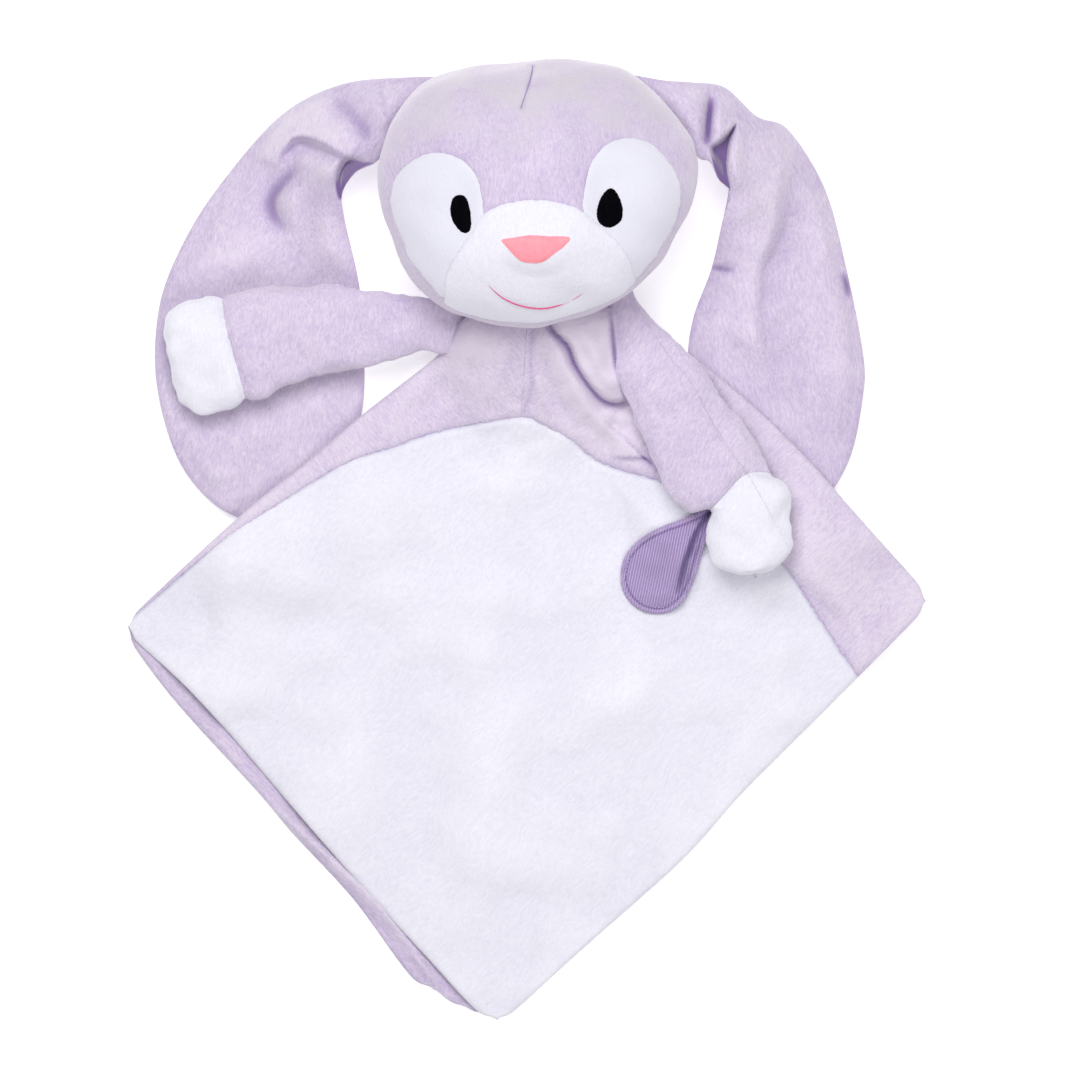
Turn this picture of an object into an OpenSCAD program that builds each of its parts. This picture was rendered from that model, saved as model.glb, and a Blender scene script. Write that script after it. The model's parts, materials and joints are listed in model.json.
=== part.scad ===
// Bunny comforter: a stuffed rabbit head with long flat ears and two soft arms, sewn to a square
// plush blanket. It lies on its back. +Z points up out of the face, and +Y runs from the blanket's
// lower corner to the crown of the head. Left and right are as seen from the front, so left is -X.
// The origin is on the surface it lies on, where the blanket's diagonals cross.

/* [Head] */
// Width of the head from side to side
head_w = 193; // [160:1:232]
// Height of the head from chin to crown
head_h = 161; // [134:1:194]
// Thickness of the head from face to back
head_t = 122; // [102:1:147]
// Diameter of the two round cheeks, which make the chin
cheek_d = 122; // [101:1:126]
// How far the rounds of the two cheeks stand apart
cheek_gap = 48; // [42:1:54]
// Thickness of the head's plush cloth with its pile
plush_t = 3; // [2:0.1:4]

/* [Face] */
// Width of one white eye patch
patch_w = 52; // [43:1:54]
// Height of one white eye patch
patch_h = 84; // [70:1:90]
// Sideways distance from the middle of the face to a patch
patch_dx = 55; // [50:1:56]
// Height of the patches' middle above the chin
patch_y = 62; // [56:1:70]
// How far each patch leans in towards the chin, in degrees
patch_lean = 15; // [5:1:20]
// Width of the white muzzle
muzzle_w = 112; // [94:1:120]
// Height of the white muzzle above the chin
muzzle_h = 74; // [62:1:84]
// Width of an embroidered eye
eye_w = 14; // [11:0.5:17]
// Height of an embroidered eye
eye_h = 23; // [19:0.5:28]
// Sideways distance from the middle of the face to an eye
eye_dx = 44; // [38:1:50]
// Height of the eyes' middle above the chin
eye_y = 68; // [60:1:76]
// Width of the embroidered nose
nose_w = 40; // [33:1:48]
// Height of the embroidered nose
nose_h = 16; // [13:0.5:19]
// Width of the stitched smile
smile_w = 58; // [48:1:66]
// Depth of the stitched smile
smile_h = 15; // [12:0.5:18]
// Width of a line of stitching
thread_w = 1.8; // [1.2:0.1:3]
// How far the embroidery stands above the cloth
thread_t = 0.8; // [0.4:0.1:1.2]

/* [Ears] */
// Width of the flat left ear at its widest
ear_left_w = 122; // [102:1:134]
// Width of the right ear, which lies folded along its inner edge
ear_right_w = 103; // [86:1:124]
// Length of an ear's lobe below its bend
ear_drop = 238; // [200:1:260]
// Width of an ear where it is sewn to the head
ear_root_w = 48; // [40:1:56]
// Height of the ear's seam above the surface
ear_root_z = 36; // [30:1:42]
// Thickness of one layer of the ear
ear_layer_t = 3.6; // [3:0.1:4.3]

/* [Arms] */
// Length of an arm from its seam to the end of the paw
arm_len = 164; // [136:1:197]
// Width of an arm at its seam
shoulder_w = 34; // [28:1:40]
// Width of an arm at the paw
paw_w = 63; // [53:1:70]
// Thickness of the stuffed arm at the paw
arm_t = 25; // [21:1:30]
// Length of the white paw
paw_len = 48; // [40:1:58]
// Thickness of the arm's plush cloth
sleeve_t = 2.4; // [1.8:0.1:3]

/* [Blanket] */
// Half of the blanket's diagonal
half_diagonal = 245; // [205:1:294]
// Thickness of one blanket layer
blanket_t = 3; // [2.4:0.1:3.6]
// How far below the middle of the head's thickness the blanket is sewn on
neck_drop = 27; // [25:1:35]
// Radius of the slope around the neck
slope_r = 95; // [80:1:110]
// Radius of the blanket's rounded corners
corner_r = 9; // [6:1:14]
// Height of the belly panel's arched seam above the middle
belly_top = 118; // [98:1:130]
// Reach of the belly panel's arch to the left of its top
belly_left = 180; // [150:1:186]
// Reach of the belly panel's arch to the right of its top
belly_right = 160; // [134:1:186]
// Where the blanket folds, measured down from the middle
fold_drop = 70; // [58:1:84]
// Width of the small keepsake flap
flap_w = 50; // [42:1:56]
// Length of the small keepsake flap
flap_len = 74; // [62:1:84]
// Thickness of the flap's knitted cloth
flap_t = 2.4; // [1.8:0.1:2.8]

/* [Joints] */
// Largest sway of the head to either side, in degrees
head_sway = 8; // [5:1:12]

/* [Hidden] */

lilac = "#dccbe8";
white = "#f4f3fb";
lilac_dark = "#a78fc0";
ink = "#0b0b10";
rose = "#ff9ea6";
fill = "#fbfbf7";

LEFT = -1;
RIGHT = 1;

// Clearances between cloth layers, and between pieces that move against each other
layer_gap = 0.3;
run_gap = 0.8;

// Facets of the round solids
fine = 40;
soft = 28;

// --- Places, worked out from the sizes -----------------------------------------------------

// The chin is over the blanket's upper part, and the head stands on it
neck_y = half_diagonal - 74;
head_x = 5;
head_z = head_t / 2;
brow_r = head_t / 2;
brow_dx = head_w / 2 - brow_r;
brow_y = neck_y + head_h - brow_r;
cheek_r = cheek_d / 2;
cheek_y = neck_y + cheek_r;
side_seam_z = head_z - 10;
neck_pivot = [head_x, neck_y + 6];
// Height at which the blanket is held at the neck
neck_rise = head_z - neck_drop;

// Blanket corners, in the order left, bottom, right; the lower ones lie a little askew
corner_left = [-half_diagonal, -8];
corner_bottom = [-20, -half_diagonal - 4];
corner_right = [half_diagonal, 6];
// The back layer lies shifted, so that it shows along the lower left edge
back_shift = 9;
back_bottom = corner_bottom + [-32, 17];
// The upper edges end at the neck
neck_left = [head_x - 42, neck_y + 6];
neck_right = [head_x + 62, neck_y + 14];

front_z = blanket_t + layer_gap;
front_top = front_z + blanket_t;

// The left ear hangs further out than the right one
ear_t = 2 * ear_layer_t + layer_gap;
ear_low = 0.2;
ear_top = ear_low + ear_t;
ear_root_r = ear_root_w / 2;
ear_root_angle = 16;
// Head radius at the top of the ear's seam, where the root lies against the head
ear_seam_r = sqrt(pow(brow_r, 2) - pow(brow_r - ear_root_z - ear_t / 2, 2));
ear_root_out = ear_seam_r + ear_root_r + run_gap;
function ear_w(side) = side == LEFT ? ear_left_w : ear_right_w;
function ear_root(side) = [
    head_x + side * (brow_dx + ear_root_out * cos(ear_root_angle)),
    brow_y + ear_root_out * sin(ear_root_angle),
];
function ear_out(side) = side == LEFT ? 54 : 35;
function ear_tip(side) = ear_root(side) + [side * ear_out(side), ear_w(side) / 2 - ear_drop];
// Length of the straight stretch between the ear's two rounds
ear_straight = ear_drop / 5;

// Arms
arm_h = arm_t / 2;
shoulder_h = arm_h * 0.7;
shoulder_left = [head_x - 56, neck_y - 6];
shoulder_right = [head_x + 56, neck_y - 5];
function shoulder(side) = side == LEFT ? shoulder_left : shoulder_right;
function arm_heading(side) = side == LEFT ? 187 : -60;
function shoulder_z(side) = rise(shoulder(side)) + front_top + 2 * run_gap + shoulder_h;
// The left paw lies on the ear, the right paw on the blanket where that lies on the other ear
function paw_z(side) =
    ear_top + run_gap + arm_h + (side == LEFT ? 0 : front_top + layer_gap + flap_t + run_gap);
function arm_dip(side) = asin((shoulder_z(side) - paw_z(side)) / arm_len);

// --- Shapes ---------------------------------------------------------------------------------

// Half a wave from 1 at zero distance down to 0 at the reach
function wave(d, reach) = d >= reach ? 0 : 0.5 + 0.5 * cos(180 * d / reach);

// The part of an ear that lies under the blanket lifts it, as far as the ear slides when the head sways
function over_ear(side, p) =
    let (
        d = p - ear_tip(side),
        away = norm([d[0], d[1] < 0 ? d[1] : max(0, d[1] - ear_straight)]),
        slide = norm(ear_tip(side) - neck_pivot) * sin(head_sway),
        flat_r = ear_w(side) / 2 + slide + 2 * run_gap
    ) (ear_top + run_gap) * wave(max(0, away - flat_r), slope_r / 2);

// Height of the blanket's underside above the surface
function rise(p) = max(
    neck_rise * wave(norm(p - [head_x, neck_y]), slope_r),
    over_ear(LEFT, p),
    over_ear(RIGHT, p)
);

// Height of an ear's underside: it slopes down from its seam, then lies flat
function ear_rise(side, p) =
    let (past_seam = max(0, norm(p - ear_root(side)) - ear_root_r))
        ear_low + (ear_root_z - ear_t / 2 - ear_low) * wave(past_seam, slope_r * 0.7);

// A closed slab around a middle, which follows the blanket's rise or that of one ear
cells = 30;
module draped_slab(low, high, side = 0, middle = [0, 0], span = half_diagonal + 20) {
    step = 2 * span / cells;
    n = cells + 1;
    grid = [
        for (j = [0:cells], i = [0:cells]) middle + [i * step - span, j * step - span]
    ];
    heights = [for (p = grid) side == 0 ? rise(p) : ear_rise(side, p)];
    points = concat(
        [for (k = [0:len(grid) - 1]) concat(grid[k], heights[k] + low)],
        [for (k = [0:len(grid) - 1]) concat(grid[k], heights[k] + high)]
    );
    top = n * n;
    quads = [for (j = [0:cells - 1], i = [0:cells - 1]) j * n + i];
    faces = concat(
        [for (q = quads) [q, q + 1, q + n + 1]],
        [for (q = quads) [q, q + n + 1, q + n]],
        [for (q = quads) [top + q, top + q + n + 1, top + q + 1]],
        [for (q = quads) [top + q, top + q + n, top + q + n + 1]],
        [for (i = [0:cells - 1]) [i, top + i, top + i + 1, i + 1]],
        [for (i = [0:cells - 1], a = cells * n + i) [a, a + 1, top + a + 1, top + a]],
        [for (j = [0:cells - 1], a = j * n) [a, a + n, top + a + n, top + a]],
        [for (j = [0:cells - 1], a = j * n + cells) [a, top + a, top + a + n, a + n]]
    );
    polyhedron(points, faces, convexity = 8);
}

module rounded(corners) {
    offset(r = corner_r, $fn = fine) offset(delta = -corner_r) polygon(corners);
}

module front_outline() {
    rounded([corner_left, corner_bottom, corner_right, neck_right, neck_left]);
}

module back_outline() {
    out = back_shift * [-0.74, -0.68];
    rounded([
        corner_left, corner_left + [8, -10] + out, back_bottom + out, back_bottom + [14, -4],
        corner_right, neck_right, neck_left,
    ]);
}

// An upright or leaning oval, w wide and h high
module oval(w, h) {
    polygon([for (a = [0:360 / fine:359]) [w / 2 * cos(a), h / 2 * sin(a)]]);
}

// The belly panel: an arch above, which runs out to the lower edges on both sides
module belly_outline() {
    arch_x = head_x - 7;
    arch_y = -20;
    band = 12;
    arch = [
        for (a = [0:180 / fine:180]) [
            arch_x + (a < 90 ? belly_right : belly_left) * cos(a),
            arch_y + (belly_top - arch_y) * sin(a),
        ]
    ];
    intersection() {
        front_outline();
        polygon(concat(arch, [
            corner_left + [band * 1.6, band],
            corner_left + [-band, -band],
            [-half_diagonal, -2 * half_diagonal],
            [half_diagonal, -2 * half_diagonal],
            [corner_right[0], -fold_drop],
        ]));
    }
}

// One side of the fold across the blanket: above it, or below
module above_fold(above) {
    big = 4 * half_diagonal;
    edge = -fold_drop + (above ? layer_gap : -layer_gap);
    translate([-big / 2, above ? edge : edge - big]) square([big, big]);
}

// The room that the head takes up as it sways about the neck
module head_sweep() {
    for (a = [-head_sway, 0, head_sway])
        translate([neck_pivot[0], neck_pivot[1], 0])
            rotate([0, 0, a])
                translate([-neck_pivot[0], -neck_pivot[1], 0])
                    head_form(run_gap, soft);
}

module front_cloth() {
    difference() {
        intersection() {
            draped_slab(front_z, front_top);
            linear_extrude(head_t) children();
        }
        head_sweep();
    }
}

module back_cloth() {
    difference() {
        intersection() {
            draped_slab(0, blanket_t);
            linear_extrude(head_t) children();
        }
        head_sweep();
    }
}

// --- Blanket --------------------------------------------------------------------------------

module yoke(side) {
    color(lilac) front_cloth()
        difference() {
            intersection() {
                front_outline();
                above_fold(true);
                translate([side * (half_diagonal + layer_gap / 2) + head_x, 0])
                    square(2 * half_diagonal, center = true);
            }
            offset(delta = layer_gap) belly_outline();
        }
}

module belly_panel_upper() {
    color(white) front_cloth()
        intersection() {
            belly_outline();
            above_fold(true);
        }
}

module belly_panel_lower() {
    color(white)
        translate([0, 0, front_z])
            linear_extrude(blanket_t)
                intersection() {
                    front_outline();
                    above_fold(false);
                }
}

module back_panel_upper() {
    color(lilac) back_cloth()
        intersection() {
            back_outline();
            above_fold(true);
        }
}

module back_panel_lower() {
    color(lilac)
        linear_extrude(blanket_t)
            intersection() {
                back_outline();
                above_fold(false);
            }
}

// A small topstitched flap on the belly, pinched where it is sewn on beside the right paw
flap_heading = -125;
flap_seam_r = 5;
module keepsake_flap() {
    wrist = arm_len - paw_len;
    heading = arm_heading(RIGHT);
    flap_seam = shoulder_right + wrist * [cos(heading), sin(heading)] + [-7, -3];
    color(lilac_dark)
        intersection() {
            draped_slab(front_top + layer_gap, front_top + layer_gap + flap_t);
            translate([flap_seam[0], flap_seam[1], 0])
                rotate([0, 0, flap_heading])
                    linear_extrude(head_t)
                        hull() {
                            translate([flap_seam_r, 0]) circle(flap_seam_r, $fn = soft);
                            translate([flap_len - flap_w / 2, 0]) circle(flap_w / 2, $fn = fine);
                        }
        }
}

// --- Head -----------------------------------------------------------------------------------

module head_form(grow, facets = fine) {
    hull()
        for (side = [LEFT, RIGHT]) {
            translate([head_x + side * brow_dx, brow_y, head_z])
                sphere(brow_r + grow, $fn = facets);
            translate([head_x + side * cheek_gap / 2, cheek_y, head_z])
                sphere(cheek_r + grow, $fn = facets);
        }
}

module head_cloth() {
    difference() {
        head_form(0);
        head_form(-plush_t);
    }
}

// Everything in front of the side seam, inside an outline on the face
module on_face() {
    translate([head_x, neck_y, side_seam_z]) linear_extrude(head_t) children();
}

module behind_seam() {
    translate([head_x - head_w, neck_y - head_h, -head_t])
        cube([2 * head_w, 3 * head_h, head_t + side_seam_z]);
}

module patch_outline(side) {
    translate([side * patch_dx, patch_y]) rotate(-side * patch_lean) oval(patch_w, patch_h);
}

module muzzle_outline() {
    rim = 8;
    translate([2, (muzzle_h + rim) / 2]) oval(muzzle_w, muzzle_h - rim);
}

module eye_outline(side) {
    tall = eye_h / 2;
    wide = eye_w / 2;
    translate([side * eye_dx, eye_y])
        hull() {
            translate([0, wide - tall]) circle(wide, $fn = fine);
            translate([side * -1, tall - wide * 0.7]) circle(wide * 0.7, $fn = fine);
        }
}

module nose_outline() {
    tip = nose_h * 0.38;
    translate([0, 52 - nose_h])
        hull() {
            for (side = [LEFT, RIGHT])
                translate([side * (nose_w / 2 - 2), nose_h - 2]) circle(2, $fn = soft);
            translate([0, tip]) circle(tip, $fn = soft);
        }
}

module smile_outline() {
    arc_r = (pow(smile_w / 2, 2) + pow(smile_h, 2)) / (2 * smile_h);
    half_angle = asin(smile_w / 2 / arc_r);
    translate([2, 11 + arc_r])
        intersection() {
            difference() {
                circle(arc_r + thread_w / 2, $fn = 96);
                circle(arc_r - thread_w / 2, $fn = 96);
            }
            polygon([
                [0, 0],
                2 * arc_r * [-sin(half_angle), -cos(half_angle)],
                2 * arc_r * [sin(half_angle), -cos(half_angle)],
            ]);
        }
}

module dart_outline() {
    translate([-1, head_h - 32]) rotate(-12) square([thread_w, 24]);
}

module embroidered() {
    intersection() {
        difference() {
            head_form(thread_t);
            head_form(0);
        }
        on_face() children();
    }
}

module face_panel() {
    color(lilac)
        difference() {
            head_cloth();
            behind_seam();
            on_face() {
                for (side = [LEFT, RIGHT]) patch_outline(side);
                muzzle_outline();
            }
        }
}

module eye_patch(side) {
    color(white)
        intersection() {
            head_cloth();
            on_face() difference() {
                patch_outline(side);
                muzzle_outline();
            }
        }
}

module muzzle_panel() {
    color(white)
        intersection() {
            head_cloth();
            on_face() muzzle_outline();
        }
}

module head_back(side) {
    color(lilac)
        intersection() {
            head_cloth();
            behind_seam();
            translate([side == LEFT ? head_x - head_w : head_x, neck_y - head_h, -head_t])
                cube([head_w, 3 * head_h, 3 * head_t]);
        }
}

module head_stuffing() {
    color(fill) head_form(-plush_t - layer_gap, soft);
}

module stitched_eye(side) {
    color(ink) embroidered() eye_outline(side);
}

module nose() {
    color(rose) embroidered() nose_outline();
}

module smile_stitch() {
    color(rose) embroidered() smile_outline();
}

module forehead_dart() {
    color(lilac_dark) embroidered() dart_outline();
}

// --- Ears -----------------------------------------------------------------------------------

module ear_outline(side) {
    root = ear_root(side);
    wide = ear_w(side) / 2;
    bend = root + [side * 36, -40];
    hull() {
        translate(root) circle(ear_root_r, $fn = fine);
        translate(bend) circle(ear_root_r + 12, $fn = fine);
    }
    hull() {
        translate(bend) circle(ear_root_r + 12, $fn = fine);
        translate(ear_tip(side) + [0, ear_straight]) circle(wide, $fn = fine);
        translate(ear_tip(side)) circle(wide * 0.95, $fn = fine);
    }
}

// One layer of an ear, lifted above the one below
module ear_layer(side, lift) {
    middle = (ear_root(side) + ear_tip(side)) / 2;
    color(lilac)
        intersection() {
            draped_slab(lift, lift + ear_layer_t, side, middle, ear_drop * 0.75);
            linear_extrude(head_t) ear_outline(side);
        }
}

module ear_front(side) {
    ear_layer(side, ear_layer_t + layer_gap);
}

module ear_back(side) {
    ear_layer(side, 0);
}

// --- Arms -----------------------------------------------------------------------------------

module pillow(x, r, h) {
    translate([x, 0, 0]) scale([r, r, h]) sphere(1, $fn = soft);
}

// The whole arm along +X from its seam, made smaller all round by inset
module arm_form(inset) {
    seam_r = shoulder_w / 2;
    paw_r = paw_w / 2;
    hull() {
        pillow(seam_r, seam_r - inset, shoulder_h - inset);
        pillow(arm_len * 0.6, paw_r * 0.94 - inset, arm_h - inset);
        pillow(arm_len - paw_r, paw_r - inset, arm_h - inset);
    }
}

module arm_cloth() {
    difference() {
        arm_form(0);
        arm_form(sleeve_t);
    }
}

// A box around one half of the arm: the front or the back, the sleeve or the paw
module arm_part(front, paw) {
    cuff = arm_len - paw_len;
    big = 2 * arm_len;
    translate([paw ? cuff : cuff - big, -big / 2, front ? 0 : -big]) cube([big, big, big]);
}

module place_arm(side) {
    at = shoulder(side);
    translate([at[0], at[1], shoulder_z(side)])
        rotate([0, 0, arm_heading(side)])
            rotate([0, arm_dip(side), 0])
                children();
}

module arm_shell(side, front, paw) {
    color(paw ? white : lilac)
        place_arm(side)
            intersection() {
                arm_cloth();
                arm_part(front, paw);
            }
}

module arm_stuffing(side) {
    color(fill) place_arm(side) arm_form(sleeve_t + layer_gap);
}

// --- Nodes ----------------------------------------------------------------------------------

yoke(LEFT);  // yoke_left
yoke(RIGHT);  // yoke_right
belly_panel_upper();
back_panel_upper();
belly_panel_lower();
back_panel_lower();
keepsake_flap();
face_panel();
head_back(LEFT);  // head_back_left
head_back(RIGHT);  // head_back_right
eye_patch(LEFT);  // eye_patch_left
eye_patch(RIGHT);  // eye_patch_right
muzzle_panel();
stitched_eye(LEFT);  // eye_left
stitched_eye(RIGHT);  // eye_right
nose();
smile_stitch();
forehead_dart();
head_stuffing();
ear_front(LEFT);  // ear_left_front
ear_back(LEFT);  // ear_left_back
ear_front(RIGHT);  // ear_right_front
ear_back(RIGHT);  // ear_right_back
arm_shell(LEFT, true, false);  // arm_left_front
arm_shell(LEFT, false, false);  // arm_left_back
arm_shell(LEFT, true, true);  // paw_left_front
arm_shell(LEFT, false, true);  // paw_left_back
arm_stuffing(LEFT);  // arm_left_stuffing
arm_shell(RIGHT, true, false);  // arm_right_front
arm_shell(RIGHT, false, false);  // arm_right_back
arm_shell(RIGHT, true, true);  // paw_right_front
arm_shell(RIGHT, false, true);  // paw_right_back
arm_stuffing(RIGHT);  // arm_right_stuffing
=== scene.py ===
"""Looks of the bunny comforter: plush head, ears, arms and blanket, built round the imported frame."""

import json
import math

import bmesh
import bpy
import numpy as np
from bpy.props import FloatProperty, FloatVectorProperty, IntProperty, PointerProperty
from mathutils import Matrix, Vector
from mathutils.bvhtree import BVHTree


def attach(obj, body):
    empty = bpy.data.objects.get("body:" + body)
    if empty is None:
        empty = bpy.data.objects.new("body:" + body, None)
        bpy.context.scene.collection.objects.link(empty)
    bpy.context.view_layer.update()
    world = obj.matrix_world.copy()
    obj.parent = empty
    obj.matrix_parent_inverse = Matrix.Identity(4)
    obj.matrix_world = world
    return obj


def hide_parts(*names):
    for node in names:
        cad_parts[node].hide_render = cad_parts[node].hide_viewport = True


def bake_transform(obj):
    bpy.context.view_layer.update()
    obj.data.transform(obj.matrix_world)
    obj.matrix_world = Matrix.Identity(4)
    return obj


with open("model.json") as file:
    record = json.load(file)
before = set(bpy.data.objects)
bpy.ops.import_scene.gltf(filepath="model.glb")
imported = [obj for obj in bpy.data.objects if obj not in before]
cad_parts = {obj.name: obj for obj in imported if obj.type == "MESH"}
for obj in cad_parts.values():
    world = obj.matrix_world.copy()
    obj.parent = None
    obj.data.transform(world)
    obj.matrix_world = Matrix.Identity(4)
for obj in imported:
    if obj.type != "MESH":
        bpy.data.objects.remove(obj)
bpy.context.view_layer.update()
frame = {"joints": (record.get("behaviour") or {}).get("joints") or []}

bl_info = {
    "name": "Bunny Comforter",
    "version": (1, 0, 0),
    "blender": (4, 5, 0),
    "location": "3D View > Sidebar > Comforter",
    "description": "Builds a plush bunny comforter with its blanket, ears, arms and face",
    "category": "Object",
}

MM = 0.001
LEFT, RIGHT = -1, 1
JOINTS = {joint["name"]: joint for joint in frame["joints"]}


# --- Sizes and colours --------------------------------------------------------------------------


def millimetres(name, description, default, low=0.0, high=100.0):
    return FloatProperty(name=name, description=description, default=default, min=low, max=high)


def colour(name, description, default):
    return FloatVectorProperty(
        name=name, description=description, default=default, subtype="COLOR", min=0.0, max=1.0
    )


class ComforterSizes(bpy.types.PropertyGroup):
    """Sizes in millimetres that a maker would change"""

    grain: millimetres("Mesh grain", "Distance between the points of a cloth's mesh", 1.5, 0.8, 6)
    ear_cloth: millimetres("Ear cloth", "Thickness of one ear layer with its pile", 3.7, 2, 6)
    blanket_cloth: millimetres("Blanket cloth", "Thickness of one blanket layer", 3.1, 2, 5)
    plush: millimetres("Plush", "Thickness of the cloth over the stuffed parts", 2.4, 1, 4)
    seam_depth: millimetres("Seam depth", "How far a seam is drawn in", 1.3, 0, 4)
    pile_relief: millimetres("Pile relief", "Unevenness of the pile", 0.14, 0, 1)
    thread: millimetres("Thread", "Thickness of the satin thread", 0.58, 0.2, 1)
    seed: IntProperty(name="Seed", description="Fixed seed for wrinkles and pile", default=7, min=0)


class ComforterColours(bpy.types.PropertyGroup):
    """Colours of the cloths and threads"""

    lilac: colour("Lilac", "Lit colour of the lilac plush", (0.69, 0.62, 0.735))
    # Deep lilac is the lilac plush's shaded colour: it shows between the pile's tufts and is painted shade in
    # folds through the nap attribute.
    lilac_deep: colour("Deep lilac", "Colour between the lilac pile's tufts", (0.46, 0.375, 0.575))
    # Painted shade: the colour painted deep in the lilac folds and creases.
    lilac_crease: colour("Lilac crease", "Colour deep in the lilac folds", (0.15, 0.09, 0.25))
    # Brushed-up pile with painted sheen: the greyer colour mixed in on the crown.
    lilac_up: colour("Brushed lilac", "Colour of the lilac pile brushed up", (0.57, 0.53, 0.60))
    # Painted sheen: the colour the lilac pile is turned to towards its silhouette.
    lilac_rim: colour("Lilac rim", "Colour of the lilac pile seen from its side", (0.70, 0.65, 0.73))
    white: colour("White", "Lit colour of the white plush", (0.80, 0.795, 0.86))
    # Shaded white is the white plush's shaded colour: it shows between the tufts, is painted shade in folds
    # through the nap attribute, and darkens the eye patches.
    white_deep: colour("Shaded white", "Colour between the white pile's tufts", (0.67, 0.665, 0.755))
    # Painted shade: the colour painted deep in the white folds and creases.
    white_crease: colour("White crease", "Colour deep in the white folds", (0.42, 0.41, 0.56))
    knit: colour("Knit", "Colour of the ribbed knit", (0.60, 0.47, 0.74))
    # Deep knit shows between the knit's ribs and is also painted shade in the flap's slit and groove.
    knit_deep: colour("Deep knit", "Colour between the knit's ribs", (0.22, 0.155, 0.36))
    knit_thread: colour("Knit thread", "Colour of the flap's topstitching", (0.55, 0.45, 0.72))
    ink: colour("Ink", "Black embroidery", (0.004, 0.004, 0.006))
    rose: colour("Rose", "Pink satin stitch of the nose", (1.0, 0.41, 0.46))
    smile: colour("Smile", "Pink thread of the smile", (0.74, 0.12, 0.30))
    seam: colour("Seam", "Thread in the lilac seams", (0.36, 0.27, 0.55))
    fibre: colour("Fibre", "Loose polyester filling", (0.90, 0.90, 0.88))


def sizes():
    return bpy.context.scene.comforter_sizes


def colours():
    return bpy.context.scene.comforter_colours


# --- Curves and fields --------------------------------------------------------------------------


def smooth(points, count, closed=False):
    """A smooth curve through the points, as evenly spaced points."""
    p = np.array(points, float)
    if closed:
        p = np.vstack([p[-1], p, p[:2]])
    else:
        p = np.vstack([2 * p[0] - p[1], p, 2 * p[-1] - p[-2]])
    t = np.linspace(0, 1, 24, endpoint=False)[:, None]
    line = []
    for a, b, c, d in zip(p[:-3], p[1:-2], p[2:-1], p[3:]):
        bend = (2 * a - 5 * b + 4 * c - d) * t**2 + (3 * b - a - 3 * c + d) * t**3
        line.append(0.5 * (2 * b + (c - a) * t + bend))
    line = np.vstack(line + [p[-2][None]])
    run = np.r_[0, np.cumsum(np.linalg.norm(np.diff(line, axis=0), axis=1))]
    at = np.linspace(0, run[-1], count, endpoint=not closed)
    return np.stack([np.interp(at, run, line[:, k]) for k in range(line.shape[1])], 1)


def to_line(p, line):
    """Distance of each flat point to a line, how far along it is (0 to 1), and its side."""
    a, ab = line[:-1], np.diff(line, axis=0)
    length = np.linalg.norm(ab, axis=1)
    start = np.r_[0, np.cumsum(length)]
    out = np.zeros((len(p), 3))
    for first in range(0, len(p), 20000):
        q = p[first : first + 20000, None, :2] - a
        t = np.clip((q * ab).sum(-1) / np.maximum((ab**2).sum(-1), 1e-12), 0, 1)
        off = q - t[..., None] * ab
        away = (off**2).sum(-1)
        k = away.argmin(1)
        row = np.arange(len(k))
        side = np.sign(ab[k, 0] * q[row, k, 1] - ab[k, 1] * q[row, k, 0])
        along = (start[k] + t[row, k] * length[k]) / start[-1]
        out[first : first + len(k)] = np.stack([np.sqrt(away[row, k]), along, side], 1)
    return out.T


def inside(p, loop):
    """Distance inside a closed outline: positive inside, negative outside."""
    line = np.vstack([loop, loop[:1]])
    away = to_line(p, line)[0]
    x, y = p[:, 0], p[:, 1]
    within = np.zeros(len(p), bool)
    for (ax, ay), (bx, by) in zip(line[:-1], line[1:]):
        if ay == by:
            continue
        crosses = (ay > y) != (by > y)
        within ^= crosses & (x < ax + (y - ay) * (bx - ax) / (by - ay))
    return np.where(within, away, -away)


def ramp(low, high, x):
    t = np.clip((x - low) / (high - low), 0, 1)
    return t * t * (3 - 2 * t)


def bell(away, reach):
    """A soft bump of height 1 at no distance."""
    return np.exp(-((away / reach) ** 2))


def wave(away, reach):
    """Half a wave, from 1 at no distance down to 0 at the reach."""
    return 0.5 + 0.5 * np.cos(np.pi * np.clip(away / reach, 0, 1))


def ripples(p, length, seed, waves=14):
    """Soft random unevenness of about unit height."""
    rng = np.random.default_rng(seed)
    way = rng.normal(size=(waves, p.shape[1]))
    way *= (2 * np.pi / length * rng.uniform(0.7, 1.4, waves) / np.linalg.norm(way, axis=1))[:, None]
    return np.cos(p @ way.T + rng.uniform(0, 2 * np.pi, waves)).sum(1) / math.sqrt(waves / 2)


def fold(p, points, width, height, other=None, ends=0.5):
    """A ridge along a line, or a valley where height is negative. other is the right side's width."""
    away, along, side = to_line(p, smooth(points, 20))
    reach = np.where(side >= 0, width, width if other is None else other)
    return height * np.sin(np.pi * along) ** ends * bell(away, reach)


def folded(p, rows):
    """Several folds together, each given as fold() takes it."""
    return sum(fold(p, *row) for row in rows)


def lap(p, points, height, steep, soft, ends=0.5):
    """A fold that laps over: it stands up on the line's left side and drops on its right."""
    away, along, side = to_line(p, smooth(points, 24))
    return height * np.sin(np.pi * along) ** ends * bell(away, np.where(away * side >= 0, soft, steep))


def mound(p, x, y, wide, high, height):
    return height * np.exp(-(((p[:, 0] - x) / wide) ** 2) - ((p[:, 1] - y) / high) ** 2)


def pocket(p, loop, depth, soft=1.6):
    return -depth * ramp(-0.6, soft, inside(p[:, :2], smooth(loop, 40, True)))


def level(points):
    """Flat points with a height of zero."""
    return np.concatenate([points, np.zeros((*points.shape[:-1], 1))], -1)


# --- Meshes -------------------------------------------------------------------------------------


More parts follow.
